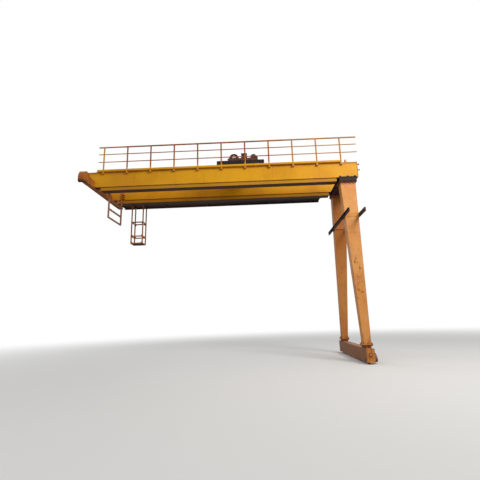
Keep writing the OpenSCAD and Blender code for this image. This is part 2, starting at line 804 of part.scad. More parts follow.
// Tapered box leg with its head plate, foot plate, band and gussets
module leg() {
  top = leg_top_z - flange_t;
  foot_low = leg_bottom_z - flange_t;
  tapered_box([leg_foot_x, -leg_foot_y, leg_bottom_z - 1], [leg_foot_w, leg_foot_t],
    [leg_head_x, -leg_head_y, top + 1], [leg_head_w, leg_head_t]);
  block([head_beam_left, -leg_head_y - leg_head_t / 2 - flange_lip, top],
    [head_beam_right, -leg_head_y + leg_head_t / 2 + flange_lip, leg_top_z]);
  block([leg_foot_x - leg_foot_w / 2 - flange_lip, -leg_foot_y - leg_foot_t / 2 - flange_lip, foot_low],
    [leg_foot_x + leg_foot_w / 2 + flange_lip, -leg_foot_y + leg_foot_t / 2 + flange_lip, leg_bottom_z]);
  leg_band();
  leg_gussets(top, -1, [for (i = [-1.5 : 1 : 1.5]) leg_head_x + i * leg_head_w / 4]);
  leg_gussets(leg_bottom_z, 1, [for (i = [-1, 1]) leg_foot_x + i * leg_foot_w / 3]);
  leg_side_gussets([for (i = [-1, 1]) -leg_foot_y + i * leg_foot_t / 3]);
}

// Straight-sided band that the cross ties bolt to
module leg_band() {
  x = leg_mix(leg_foot_x, leg_head_x, tie_z);
  half_w = band_half_w();
  low = tie_z - band_h / 2;
  high = tie_z + band_h / 2;
  block([x - half_w, leg_face(low, -1) - band_t, low], [x + half_w, leg_face(high, 1) + band_t, high]);
}

function band_half_w() = leg_mix(leg_foot_w, leg_head_w, tie_z + band_h / 2) / 2 + band_t;

// Outline of a gusset from a face at a flange, up (way 1) or down (way -1) to a tip on the leg
module gusset_outline(root, tip, z, way, side) polygon([
  [root - side * 40, z - way], [root + side * (flange_lip - 5), z - way],
  [root + side * (flange_lip - 5), z + way * gusset_edge], [tip - side * 4, z + way * gusset_h]
]);

// Gussets on the leg's front and back at the given places
module leg_gussets(z, way, places) for (x = places) end_profile(x - gusset_t / 2, x + gusset_t / 2)
  for (side = [-1, 1])
    gusset_outline(leg_face(z, side), leg_face(z + way * gusset_h, side), z, way, side);

// Gussets on the leg's two sides above the foot plate
module leg_side_gussets(places) for (y = places) side_profile(y - gusset_t / 2, y + gusset_t / 2)
  for (side = [-1, 1]) gusset_outline(leg_side(leg_bottom_z, side),
    leg_side(leg_bottom_z + gusset_h, side), leg_bottom_z, 1, side);

module near_leg() color(leg_colour) leg();
module far_leg() color(leg_colour) far_side() leg();

// Pedestal between the ground beam and the leg's foot plate
module foot() {
  top = ground_h + foot_h;
  half_x = leg_foot_w / 2 - foot_in_x;
  half_y = leg_foot_t / 2 - foot_in_y;
  plate_z = top - flange_t + 1;
  translate([leg_foot_x, -leg_foot_y, 0]) {
    block([-half_x, -half_y, ground_h], [half_x, half_y, top - 1]);
    block([-leg_foot_w / 2 - flange_lip, -leg_foot_t / 2 - flange_lip, top - flange_t],
      [leg_foot_w / 2 + flange_lip, leg_foot_t / 2 + flange_lip, top]);
    for (y = [-half_y * 0.7, 0, half_y * 0.7]) for (side = [-1, 1])
      side_profile(y - gusset_t / 2, y + gusset_t / 2)
        polygon([[side * (half_x - 5), ground_h], [side * (ground_w / 2 - leg_foot_x), ground_h],
          [side * (leg_foot_w / 2 + flange_lip - 10), plate_z], [side * (half_x - 5), plate_z]]);
    for (x = [-half_x * 0.6, half_x * 0.6]) for (side = [-1, 1])
      end_profile(x - gusset_t / 2, x + gusset_t / 2)
        polygon([[side * (half_y - 5), ground_h], [side * (half_y + foot_gusset_l), ground_h],
          [side * (half_y + flange_lip), plate_z], [side * (half_y - 5), plate_z]]);
  }
}

module leg_feet() color(carriage_colour) {
  foot();
  far_side() foot();
}

// Channel along Y with its open side away from the legs
module tie(x, facing) translate([x, 0, tie_z]) scale([facing, 1, 1]) difference() {
  block([0, -tie_half, -tie_h / 2], [tie_w, tie_half, tie_h / 2]);
  block([tie_web_t, -tie_half - 1, -tie_h / 2 + tie_flange_t],
    [tie_w + 1, tie_half + 1, tie_h / 2 - tie_flange_t]);
}

module cross_ties() color(dark_colour) for (facing = [-1, 1])
  tie(leg_mix(leg_foot_x, leg_head_x, tie_z) + facing * band_half_w(), facing);

// Ground carriage beam with a pocket for each wheel
module ground_beam() color(carriage_colour) difference() {
  union() {
    block([-ground_w / 2, -ground_half, 0], [ground_w / 2, ground_half, ground_h]);
    for (y = [-ground_wheel_y, ground_wheel_y]) for (x = [-ground_w / 2 - cap_t, ground_w / 2 - 1])
      bar_x([x, y, ground_axle_z], cap_t + 1, cap_d);
  }
  for (y = [-ground_wheel_y, ground_wheel_y]) translate([0, y, ground_axle_z]) wheel_pocket(ground_w);
}

module ground_end_plates() color(girder_colour) for (side = [-1, 1]) scale([1, side, 1])
  block([-ground_w / 2 - cap_plate_over, ground_half, 0],
    [ground_w / 2 + cap_plate_over, ground_half + cap_plate_t, ground_h + cap_plate_over]);

module ground_buffers() color([0.08, 0.08, 0.08]) for (side = [-1, 1]) scale([1, side, 1])
  translate([0, ground_half + cap_plate_t, buffer_z]) rotate([-90, 0, 0]) {
    cylinder(d = buffer_d, h = buffer_l * 0.25);
    cylinder(d1 = buffer_d * 0.9, d2 = buffer_d * 0.7, h = buffer_l);
  }

module ground_wheel_near() color(steel_colour) translate([0, -ground_wheel_y, ground_axle_z])
  shaft_wheel(ground_w / 2 + cap_t + shaft_past, ground_w / 2 + cap_t + case_shaft);
module ground_wheel_far() color(steel_colour) translate([0, ground_wheel_y, ground_axle_z])
  shaft_wheel(ground_w / 2 + cap_t + shaft_past, ground_w / 2 + cap_t + case_shaft);

module ground_drives() color(carriage_colour) for (side = [-1, 1]) scale([1, side, 1])
  translate([ground_w / 2 + cap_t, -ground_wheel_y, ground_axle_z]) travel_drive();

// Hanging guard frame across the gap between the girders
module guard_posts() color(carriage_colour) for (side = [-1, 1]) scale([1, side, 1])
  block([runway_x + guard_x, inner_y - guard_bar, bridge_z - guard_drop],
    [runway_x + guard_x + guard_bar, inner_y, bridge_z + guard_rise]);

module guard_rails() color(carriage_colour) for (share = [0, 0.35, 0.75])
  translate([runway_x + guard_x, -inner_y + guard_bar, bridge_z - guard_drop + share * guard_drop])
    cube([guard_bar, 2 * (inner_y - guard_bar), guard_bar]);

// Hanging basket under the platform
basket_left = runway_x + basket_x;
basket_near = outer_y + basket_gap;
basket_low = bridge_z - basket_drop;

module basket_posts() color(carriage_colour)
  for (x = [0, basket_l - basket_bar], y = [0, basket_w - basket_bar])
    translate([basket_left + x, basket_near + y, basket_low]) cube([basket_bar, basket_bar, basket_drop]);

module basket_rails() color(carriage_colour) translate([basket_left, basket_near, basket_low])
  for (z = [0, knee_h, basket_rail_h - basket_bar]) {
    for (y = [0, basket_w - basket_bar])
      translate([basket_bar, y, z]) cube([basket_l - 2 * basket_bar, basket_bar, basket_bar]);
    for (x = [0, basket_l - basket_bar])
      translate([x, basket_bar, z]) cube([basket_bar, basket_w - 2 * basket_bar, basket_bar]);
  }

module basket_floor() color(dark_colour)
  block([basket_left + basket_bar, basket_near + basket_bar, basket_low],
    [basket_left + basket_l - basket_bar, basket_near + basket_w - basket_bar, basket_low + basket_floor_t]);

// Trolley frame
module trolley_side_beams() color(trolley_colour) for (side = [-1, 1]) scale([1, side, 1]) difference() {
  block([trolley_mid - trolley_l / 2, rail_y - side_beam_w / 2, side_beam_low],
    [trolley_mid + trolley_l / 2, rail_y + side_beam_w / 2, deck_low]);
  for (x = [-trolley_base / 2, trolley_base / 2]) translate([trolley_mid + x, rail_y, trolley_axle_z]) {
    translate([0, trolley_pocket_w / 2, 0]) rotate([90, 0, 0]) {
      cylinder(r = trolley_pocket_r, h = trolley_pocket_w);
      translate([-trolley_pocket_r, -2 * trolley_pocket_r, 0])
        cube([2 * trolley_pocket_r, 2 * trolley_pocket_r, trolley_pocket_w]);
    }
    bar_y([0, -side_beam_w, 0], 2 * side_beam_w, axle_d + 2 * seat);
  }
}

cross_x = [-trolley_l / 2 + cross_beam_end, cross_beam_mid, trolley_l / 2 - cross_beam_end];
module trolley_cross_beams() color(trolley_colour) for (x = cross_x)
  translate([trolley_mid + x - cross_beam_w / 2, -frame_y, deck_low - cross_beam_h])
    cube([cross_beam_w, 2 * frame_y, cross_beam_h]);

module trolley_deck() color(trolley_colour) difference() {
  half = trolley_l / 2 - deck_end;
  hole_y = drum_l / 2 + drum_flange_t + deck_gap / 2;
  block([trolley_mid - half, -rail_y, deck_low], [trolley_mid + half, rail_y, deck_top]);
  block([drum_axis_x - drum_flange_d / 2 - deck_gap, -hole_y, deck_low - 1],
    [block_x + deck_past_block, hole_y, deck_top + 1]);
}

// Two flanged wheels on a through shaft
module trolley_wheel_pair() {
  r = trolley_wheel_d / 2;
  half = trolley_tread_w / 2;
  edge = half + trolley_flange_t;
  for (side = [-1, 1]) translate([0, side * rail_y, 0]) rotate([90, 0, 0]) rotate_extrude($fn = 72)
    polygon([[0, -edge], [r + trolley_flange, -edge], [r + trolley_flange, -half - 3], [r, -half],
      [r, half], [r + trolley_flange, half + 3], [r + trolley_flange, edge], [0, edge]]);
  bar_y([0, -rail_y - side_beam_w / 2 - axle_past, 0], 2 * (rail_y + axle_past) + side_beam_w, axle_d);
}

module trolley_wheels() color(steel_colour) for (x = [-trolley_base / 2, trolley_base / 2])
  translate([trolley_mid + x, 0, trolley_axle_z]) trolley_wheel_pair();

// Gear case round the right-hand shaft with its motor beside it, hung from the deck
module trolley_drive() color(trolley_colour)
  translate([trolley_mid + trolley_base / 2, -frame_y + 90, trolley_axle_z]) difference() {
    small_r = trolley_case_r - 5;
    union() {
      translate([0, trolley_case_w, 0]) rotate([90, 0, 0]) linear_extrude(trolley_case_w) {
        circle(trolley_case_r);
        translate([-trolley_motor_x, trolley_motor_z]) circle(small_r);
        translate([-trolley_motor_x, trolley_motor_z - small_r])
          square([trolley_motor_x, 2 * small_r - trolley_motor_z]);
      }
      bar_y([-trolley_motor_x, trolley_case_w - 1, trolley_motor_z], trolley_motor_l, trolley_motor_d);
      block([-trolley_case_r, trolley_case_w * 0.2, trolley_case_r * 0.7],
        [-trolley_case_r * 0.2, trolley_case_w * 0.8, deck_low - trolley_axle_z]);
    }
    bar_y([0, -1, 0], trolley_case_w + trolley_motor_l + 2, axle_d + 2 * seat);
  }

// Drum with flanges, shaft and turns of rope laid side by side on both halves
module drum() color(steel_colour) translate([drum_axis_x, 0, drum_axis_z]) rotate([-90, 0, 0]) {
  core_r = barrel_d / 2 - rope_d;
  turns = floor((drum_l - drum_bare) / 2 / rope_d);
  wound = turns * rope_d;
  edge = rope_d * 0.2;
  for (side = [-1, 1]) {
    translate([0, 0, side * (drum_l + drum_flange_t) / 2])
      cylinder(d = drum_flange_d, h = drum_flange_t + 1, center = true, $fn = 96);
    scale([1, 1, side]) rotate_extrude($fn = 96) polygon([
      [0, 0], [core_r, 0], [core_r, drum_bare / 2],
      for (i = [0 : turns - 1]) let (z = drum_bare / 2 + i * rope_d) each [
        [core_r + rope_d - edge, z], [core_r + rope_d, z + edge],
        [core_r + rope_d, z + rope_d - edge], [core_r + rope_d - edge, z + rope_d]
      ],
      [core_r, drum_bare / 2 + wound], [core_r, drum_l / 2 + 1], [0, drum_l / 2 + 1]
    ]);
  }
  translate([0, 0, -drum_l / 2 - drum_flange_t - shaft_near])
    cylinder(d = drum_shaft_d, h = drum_l + 2 * drum_flange_t + shaft_near + shaft_far);
}

// Split bearing pedestal at the drum's near end
module drum_bearing() color(trolley_colour) {
  y = -drum_l / 2 - drum_flange_t - bearing_end;
  base_y = 40;
  neck = bearing_d * 0.42;
  difference() {
    union() {
      bar_y([drum_axis_x, y, drum_axis_z], bearing_w, bearing_d);
      block([drum_axis_x - neck, y, bed_top], [drum_axis_x + neck, y + bearing_w, drum_axis_z]);
      block([drum_axis_x - bearing_base_l / 2, y - base_y, bed_top],
        [drum_axis_x + bearing_base_l / 2, y + bearing_w, bed_top + bearing_base_h]);
    }
    bar_y([drum_axis_x, y - 1, drum_axis_z], bearing_w + 2, drum_shaft_d + 2 * seat);
  }
}

// Parallel-shaft gearbox between the drum and the hoist motor
module gearbox() color([0.36, 0.2, 0.15]) {
  near = gearbox_y - gearbox_lip;
  far = gearbox_y + gearbox_w + gearbox_lip;
  right = motor_x + gearbox_r2;
  difference() {
    union() {
      side_profile(gearbox_y, gearbox_y + gearbox_w) {
        translate([drum_axis_x, drum_axis_z]) circle(gearbox_r1, $fn = 72);
        translate([motor_x, motor_z]) circle(gearbox_r2, $fn = 72);
        polygon([[drum_axis_x, drum_axis_z + gearbox_r1], [motor_x, motor_z + gearbox_r2],
          [motor_x, deck_top], [drum_axis_x, deck_top]]);
      }
      block([drum_axis_x - gearbox_r1, near, drum_axis_z - gearbox_joint_t],
        [right, far, drum_axis_z + gearbox_joint_t]);
      block([drum_axis_x - gearbox_r1 * 0.6, near, deck_top], [right, far, deck_top + gearbox_base_t]);
    }
    bar_y([drum_axis_x, near - 1, drum_axis_z], shaft_far, drum_shaft_d + 2 * seat);
  }
}

// Raised bed with a kerb along the near side, wider under the motor
module hoist_bed() color(bed_colour) {
  left = drum_axis_x - bed_left_l;
  right = motor_x + bed_right_l;
  block([left, -frame_y, deck_top], [right, -bed_y, bed_top]);
  block([left, -frame_y, deck_top], [right, -frame_y + kerb_t, deck_top + kerb_h]);
  block([motor_x - bed_right_l, -bed_y - 1, deck_top], [right, motor_near + motor_l, bed_top]);
}

// Motor on two feet with its terminal box, and its shaft to the gearbox with a brake drum in a stand
module hoist_motor() color(trolley_colour) {
  foot_x = motor_d * 0.36;
  shaft_start = motor_near + motor_l - 1;
  shaft_end = gearbox_y - gearbox_lip - seat;
  joint_w = drive_shaft_d;
  joint_d = brake_d * 0.5;
  brake_near = gearbox_y - brake_y - brake_w;
  stand_w = brake_d * 0.2;
  stand_x = brake_d / 2 + stand_w * 0.4;
  bar_y([motor_x, motor_near, motor_z], motor_l, motor_d);
  for (side = [-1, 1]) translate([motor_x + side * foot_x, motor_near + motor_l * 0.15, bed_top])
    block([-motor_foot_w / 2, 0, 0],
      [motor_foot_w / 2, motor_l * 0.65, motor_z - bed_top - motor_d * 0.3]);
  block([motor_x + motor_d * 0.4, motor_near + motor_l * 0.3, motor_z - terminal_w / 2],
    [motor_x + motor_d / 2 + terminal_out, motor_near + motor_l * 0.3 + terminal_w,
      motor_z + terminal_w / 2]);
  bar_y([motor_x, shaft_start, motor_z], shaft_end - shaft_start, drive_shaft_d);
  for (y = [shaft_start + 1, shaft_end - joint_w]) bar_y([motor_x, y, motor_z], joint_w, joint_d);
  bar_y([motor_x, brake_near, motor_z], brake_w, brake_d);
  for (side = [-1, 1]) translate([motor_x + side * stand_x, 0, 0])
    block([-stand_w / 2, brake_near, deck_top],
      [stand_w / 2, brake_near + brake_w, motor_z + brake_d * 0.3]);
}

// Switch box beside the motor on the bed
module hoist_box() color([0.5, 0.22, 0.14])
  translate([trolley_mid + switch_x, -frame_y + switch_y, bed_top]) cube([switch_l, switch_w, switch_h]);

// Fixed sheave under the deck that joins the two halves of the rope
upper_x = block_x + (sheave_d + rope_d) / 2 + seat;
upper_z = deck_low - top_sheave_drop;
module upper_sheave() color(trolley_colour) {
  groove = rope_d / 2 + seat;
  cheek = top_sheave_w * 0.4;
  translate([upper_x, 0, upper_z]) rotate([0, 90, 0]) rotate_extrude($fn = 72) difference() {
    translate([0, -top_sheave_w / 2]) square([sheave_y + 4, top_sheave_w]);
    translate([sheave_y, 0]) circle(groove, $fn = 24);
    translate([sheave_y, -groove]) square([5, 2 * groove]);
  }
  bar_x([upper_x - top_bracket_x, 0, upper_z], 2 * top_bracket_x, top_pin_d);
  for (side = [-1, 1]) translate([upper_x + side * (top_bracket_x - cheek / 2) - cheek / 2, 0, 0])
    block([0, -top_pin_d, upper_z - top_pin_d], [cheek, top_pin_d, deck_low]);
}

// Four falls with the rope round both sheaves and over the fixed one
module hoist_ropes() color(steel_colour) {
  wrap = (sheave_d + rope_d) / 2 + seat;
  for (y = [-sheave_y, sheave_y]) {
    bar_z([rope_x, y, block_z], drum_axis_z - block_z, rope_d);
    bar_z([upper_x, y, block_z], upper_z - block_z, rope_d);
    translate([block_x, y, block_z]) rotate([-90, 0, 0]) rotate_extrude(angle = 180, $fn = 72)
      translate([wrap, 0]) circle(d = rope_d, $fn = 24);
  }
  translate([upper_x, 0, upper_z]) rotate([90, 0, 90]) rotate_extrude(angle = 180, $fn = 72)
    translate([sheave_y, 0]) circle(d = rope_d, $fn = 24);
}

// Two sheaves between cheek plates on one shaft
module hook_block() color(trolley_colour) translate([block_x, 0, block_z]) {
  groove = rope_d / 2 + seat;
  groove_r = (sheave_d + rope_d) / 2 + seat;
  cheek_y = sheave_y + sheave_w / 2 + cheek_gap;
  end_y = cheek_y + cheek_t + cheek_gap;
  cheek_x = cheek_r * 0.76;
  for (y = [-sheave_y, sheave_y]) translate([0, y, 0]) rotate([90, 0, 0]) rotate_extrude($fn = 72)
    difference() {
      translate([0, -sheave_w / 2]) square([sheave_rim_d / 2, sheave_w]);
      translate([groove_r, 0]) circle(groove, $fn = 24);
      translate([groove_r, -groove]) square([sheave_rim_d / 2, 2 * groove]);
    }
  for (side = [-1, 1]) scale([1, side, 1]) translate([0, cheek_y + cheek_t, 0]) rotate([90, 0, 0])
    linear_extrude(cheek_t) {
      circle(cheek_r);
      translate([-cheek_x, -crosshead_drop]) square([2 * cheek_x, crosshead_drop + 10]);
    }
  bar_y([0, -end_y, 0], 2 * end_y, sheave_shaft_d);
  difference() {
    block([-crosshead_w / 2, -cheek_y - 1, -crosshead_drop],
      [crosshead_w / 2, cheek_y + 1, crosshead_h - crosshead_drop]);
    bar_z([0, 0, -crosshead_drop - 1], crosshead_h + 2, hook_t + 2 * seat);
  }
}

// Single hook with its shank up through the crosshead and a nut on top
module hook() color([0.3, 0.3, 0.31]) {
  mid = hook_r + hook_t / 2;
  translate([block_x, 0, block_z - crosshead_drop]) {
    bar_z([0, 0, -hook_neck], hook_neck + crosshead_h + 10, hook_t);
    bar_z([0, 0, crosshead_h + seat], 30, hook_t * 1.5);
    translate([0, 0, -hook_neck - mid]) rotate([90, 0, 0]) {
      rotate([0, 0, 90]) rotate_extrude(angle = 270, $fn = 72)
        translate([mid, 0]) circle(d = hook_t, $fn = 24);
      translate([mid, 0, 0]) sphere(d = hook_t);
    }
  }
}

near_girder();
far_girder();
trolley_rails();
trolley_stops();
near_edge_strip();
near_railing();
far_platform();
far_railing();
end_bracket();
runway_beam();
runway_wheel_box_near();
runway_wheel_box_far();
runway_wheel_near();
runway_wheel_far();
runway_drive();
head_beam();
near_leg();
far_leg();
leg_feet();
cross_ties();
ground_beam();
ground_end_plates();
ground_buffers();
ground_wheel_near();
ground_wheel_far();
ground_drives();
guard_posts();
guard_rails();
basket_posts();
basket_rails();
basket_floor();
trolley_side_beams();
trolley_cross_beams();
trolley_deck();
trolley_wheels();
trolley_drive();
hoist_bed();
drum();
drum_bearing();
gearbox();
hoist_motor();
hoist_box();
upper_sheave();
hoist_ropes();
hook_block();
hook();
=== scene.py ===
import json
import math

import bmesh
import bpy
from mathutils import Matrix, Vector


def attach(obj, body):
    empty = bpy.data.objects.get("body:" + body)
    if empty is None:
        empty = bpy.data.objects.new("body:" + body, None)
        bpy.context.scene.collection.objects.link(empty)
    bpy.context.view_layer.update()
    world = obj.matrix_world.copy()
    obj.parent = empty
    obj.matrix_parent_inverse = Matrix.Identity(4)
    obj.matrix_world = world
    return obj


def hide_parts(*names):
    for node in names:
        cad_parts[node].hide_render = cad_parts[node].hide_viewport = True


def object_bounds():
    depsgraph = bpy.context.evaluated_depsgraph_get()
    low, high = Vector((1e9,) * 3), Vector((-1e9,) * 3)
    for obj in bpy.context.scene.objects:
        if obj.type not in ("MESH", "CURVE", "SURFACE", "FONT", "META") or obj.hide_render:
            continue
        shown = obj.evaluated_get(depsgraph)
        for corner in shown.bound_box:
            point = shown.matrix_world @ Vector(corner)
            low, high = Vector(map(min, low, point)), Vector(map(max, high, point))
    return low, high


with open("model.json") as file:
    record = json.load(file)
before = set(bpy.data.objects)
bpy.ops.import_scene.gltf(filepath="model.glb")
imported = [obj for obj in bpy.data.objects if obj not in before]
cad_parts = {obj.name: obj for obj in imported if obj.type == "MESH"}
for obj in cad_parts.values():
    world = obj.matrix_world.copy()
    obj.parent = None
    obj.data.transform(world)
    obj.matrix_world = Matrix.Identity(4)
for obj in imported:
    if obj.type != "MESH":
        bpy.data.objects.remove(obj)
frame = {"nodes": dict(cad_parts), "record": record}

CAD_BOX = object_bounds()
NODES = frame["nodes"]
SIDES = (-1, 1)  # near and far, or left and right
TURN = 2 * math.pi
UP, DOWN = (0, 0, 1), (0, 0, -1)


# The camera stands where the picture was taken from, worked out from the crane's straight edges.
EYE = Vector((-3.786, -16.847, 1.697))
PITCH, YAW, ROLL = (math.radians(angle) for angle in (14.2008, 1.3119, -1.8824))
IMAGE = 480
FOCAL = 382.36
AXIS_AT = (250.03, 220.01)
SENSOR = 36


def set_camera():
    ahead = Vector((-math.sin(YAW) * math.cos(PITCH), math.cos(YAW) * math.cos(PITCH), math.sin(PITCH)))
    level = Vector((math.cos(YAW), math.sin(YAW), 0))
    above = level.cross(ahead)
    right = math.cos(ROLL) * level + math.sin(ROLL) * above
    up = math.cos(ROLL) * above - math.sin(ROLL) * level
    data = bpy.data.cameras.new("camera")
    data.sensor_width = SENSOR
    data.lens = FOCAL / IMAGE * SENSOR
    data.shift_x = (IMAGE / 2 - AXIS_AT[0]) / IMAGE
    data.shift_y = (AXIS_AT[1] - IMAGE / 2) / IMAGE
    data.clip_end = 500
    camera = bpy.data.objects.new("camera", data)
    turn = Matrix((right, up, -ahead)).transposed()
    camera.matrix_world = Matrix.Translation(EYE) @ turn.to_4x4()
    bpy.context.scene.collection.objects.link(camera)
    bpy.context.scene.camera = camera


set_camera()


class Wire:
    """A socket in a tree of nodes. Arithmetic on it adds Math nodes, and node() adds any other node."""

    def __init__(self, tree, socket=None):
        self.tree, self.socket = tree, socket

    def node(self, kind, settings=None, values=None, out=0):
        made = self.tree.nodes.new(kind)
        for key, value in (settings or {}).items():
            setattr(made, key, value)
        for key, value in (values or {}).items():
            for one in value if isinstance(value, list) else [value]:
                if isinstance(one, Wire):
                    self.tree.links.new(one.socket, made.inputs[key])
                else:
                    made.inputs[key].default_value = one
        return Wire(self.tree, made.outputs[out])

    def math(self, operation, *others):
        """A Math node whose first value is this wire."""
        return self.node("ShaderNodeMath", {"operation": operation}, dict(enumerate((self, *others))))

    def __add__(self, other):
        return self.math("ADD", other)

    def __sub__(self, other):
        return self.math("SUBTRACT", other)

    def __rsub__(self, other):
        return self.node("ShaderNodeMath", {"operation": "SUBTRACT"}, {0: other, 1: self})

    def __mul__(self, other):
        return self.math("MULTIPLY", other)

    def __truediv__(self, other):
        return self.math("DIVIDE", other)

    __radd__, __rmul__ = __add__, __mul__

    def between(self, low, high, to_low=0.0, to_high=1.0):
        """0 up to low, 1 from high on and smooth between, or the two given values."""
        return self.node("ShaderNodeMapRange", {"interpolation_type": "SMOOTHSTEP"},
                         {0: self, 1: low, 2: high, 3: to_low, 4: to_high})

    def below(self, low, high):
        """1 up to low, 0 from high on and smooth between."""
        return self.between(low, high, 1.0, 0.0)

    def vector(self, operation, *values, out=0):
        return self.node("ShaderNodeVectorMath", {"operation": operation}, dict(enumerate(values)), out)

    def noise(self, scale, detail, rough=0.55, distortion=0.0):
        return self.node("ShaderNodeTexNoise", None, {
            "Vector": self, "Scale": scale, "Detail": detail, "Roughness": rough, "Distortion": distortion})

    def tint(self, colour, share):
        """This colour mixed with another one by a share."""
        return self.node("ShaderNodeMix", {"data_type": "RGBA"}, {0: share, 6: self, 7: (*colour, 1)}, out=2)

    def part(self, axis):
        return self.node("ShaderNodeSeparateXYZ", None, {0: self}, out=axis)


def srgb(red, green, blue):
    """A colour as seen on a screen, 0 to 255, as the linear values that shaders take."""
    return tuple(((c / 255 + 0.055) / 1.055) ** 2.4 if c > 10 else c / 3295 for c in (red, green, blue))


class Finish(Wire):
    """A material in the making, with the wires that its layers start from. It adds nodes as a wire does."""

    def __init__(self, name):
        self.material = bpy.data.materials.new(name)
        self.material.use_nodes = True
        super().__init__(self.material.node_tree)
        self.shader = next(n for n in self.tree.nodes if n.type == "BSDF_PRINCIPLED")
        self.place = self.node("ShaderNodeTexCoord", out="Object")
        self.level = self.node("ShaderNodeTexCoord", out="Normal").part(2)  # 1 faces up, -1 down

    def colour(self, colour):
        base = self.node("ShaderNodeRGB")
        base.socket.default_value = (*colour, 1)
        return base

    def stretched(self, x, y, z):
        return self.vector("MULTIPLY", self.place, (x, y, z))

    def edges(self, width):
        """1 along outer edges and corners, 0 on flat faces."""
        true = self.node("ShaderNodeNewGeometry", out="Normal")
        rounded = self.node("ShaderNodeBevel", {"samples": 4}, {"Radius": width})
        return (1 - self.vector("DOT_PRODUCT", true, rounded, out=1)).between(0.015, 0.2)

    def put(self, **values):
        for key, value in values.items():
            socket = self.shader.inputs[key.replace("_", " ")]
            if isinstance(value, Wire):
                self.tree.links.new(value.socket, socket)
            else:
                socket.default_value = value

    def bump(self, height, depth, under=None, rounding=0.0):
        """A relief whose height wire runs from 0 to 1 over depth, in metres."""
        values = {"Height": height, "Distance": depth, "Strength": 1.0}
        if under is not None:
            values["Normal"] = under
        elif rounding:
            values["Normal"] = self.node("ShaderNodeBevel", {"samples": 3}, {"Radius": rounding})
        return self.node("ShaderNodeBump", None, values)


GRIME, DUST, RUST = srgb(58, 44, 34), srgb(168, 152, 130), srgb(104, 58, 34)


def enamel(name, colour, faded, rough=0.46, streaks=0.45, dust=0.5, wear=0.5, grime=1.0, zones=None,
           edge=0.006, waves=0.004):
    """Workshop enamel: uneven colour, grime run down the sides, dust on top, chipped edges, wavy plate."""
    f = Finish(name)
    patches = f.place.noise(0.7, 3).between(0.35, 0.68)
    clouds = f.place.noise(6, 6, 0.6)
    specks = f.place.noise(75, 3, 0.7)
    runs = f.stretched(11, 11, 0.7).noise(1, 5, 0.6)
    side = 1 - f.level.math("ABSOLUTE")
    grimy = runs.between(0.5, 0.72) * side * streaks + clouds.between(0.6, 0.8) * streaks * 0.35
    dusty = f.level.between(0.35, 0.9) * clouds.between(0.25, 0.62) * dust
    worn = (f.edges(edge) * 0.75 + specks * 0.62).between(0.78, 0.95) * wear
    chips = (specks * 0.6 + clouds * 0.55).between(0.76, 0.8) * wear
    base = f.colour(colour).tint(faded, patches)
    if zones:
        base = zones(f, base)
    shade = base.tint(GRIME, (specks.between(0.45, 0.8) * 0.14 + clouds.between(0.4, 0.75) * 0.12) * grime)
    painted = shade.tint(GRIME, grimy).tint(DUST, dusty)
    bare = (worn + chips).math("MINIMUM", 1.0)
    f.put(Base_Color=painted.tint(RUST, bare),
          Roughness=rough + dusty * 0.35 + bare * 0.3 + clouds * 0.12,
          Coat_Weight=(1 - bare) * (1 - dusty) * 0.07)
    waved = f.bump(f.place.noise(2.4, 2), waves, rounding=edge * 0.6)
    peeled = f.bump(f.place.noise(260, 2), 0.00045, waved)
    f.put(Normal=f.bump(1 - bare, 0.0007, peeled), Coat_Roughness=0.3, Specular_IOR_Level=0.22)
    return f.material


def greased(name, colour, dust):
    """Black machine paint under oil and dust."""
    f = Finish(name)
    clouds = f.place.noise(8, 6, 0.62)
    fine = f.place.noise(95, 4, 0.65)
    oily = f.stretched(7, 7, 2.2).noise(1, 4, 0.6).between(0.5, 0.7)
    dusty = f.level.between(0.2, 0.85) * clouds.between(0.3, 0.66) * dust
    worn = (f.edges(0.005) * 0.8 + fine * 0.5).between(0.75, 0.95)
    base = f.colour(colour).tint([c * 0.45 for c in colour], oily).tint(DUST, dusty * 0.55 + clouds * 0.08)
    f.put(Base_Color=base.tint(srgb(122, 112, 102), worn * 0.7),
          Roughness=0.42 - oily * 0.16 + dusty * 0.4 + fine * 0.12, Metallic=worn * 0.5)
    cast = f.bump(fine, 0.0006, rounding=0.003)
    f.put(Normal=f.bump(clouds, 0.0015, cast), Specular_IOR_Level=0.3)
    return f.material


def bare_steel(name, colour, rough=0.32, tarnish=0.6):
    """Steel worn bright by rolling, with brown tarnish in patches."""
    f = Finish(name)
    brushed = f.stretched(6, 60, 60).noise(2, 3, 0.6)
    brown = f.place.noise(9, 6, 0.65).between(0.46, 0.68) * tarnish
    base = f.colour(colour).tint([c * 0.6 for c in colour], brushed.between(0.35, 0.7))
    f.put(Base_Color=base.tint(srgb(96, 66, 46), brown),
          Roughness=rough + brown * 0.4 + brushed * 0.15, Metallic=1 - brown * 0.8,
          Normal=f.bump(brushed, 0.0003, rounding=0.002))
    return f.material


def wire_rope(name):
    """Greased steel wires: bright crowns, black grease between them."""
    f = Finish(name)
    fine, patches = f.place.noise(240, 3), f.place.noise(14, 4)
    greasy = patches.between(0.4, 0.66) * 0.8 + fine.between(0.55, 0.7) * 0.2
    f.put(Base_Color=f.colour(srgb(74, 70, 66)).tint(srgb(26, 23, 21), greasy),
          Roughness=0.38 + fine * 0.25, Metallic=0.75 - patches * 0.4, Normal=f.bump(fine, 0.0004))
    return f.material


def rubber(name):
    """Hard black rubber with a grey bloom."""
    f = Finish(name)
    bloom = f.place.noise(22, 5, 0.65).between(0.42, 0.75)
    f.put(Base_Color=f.colour(srgb(30, 30, 31)).tint(srgb(78, 74, 68), bloom * 0.6),
          Roughness=0.72 + bloom * 0.15, Normal=f.bump(f.place.noise(300, 2), 0.0004, rounding=0.002))
    return f.material


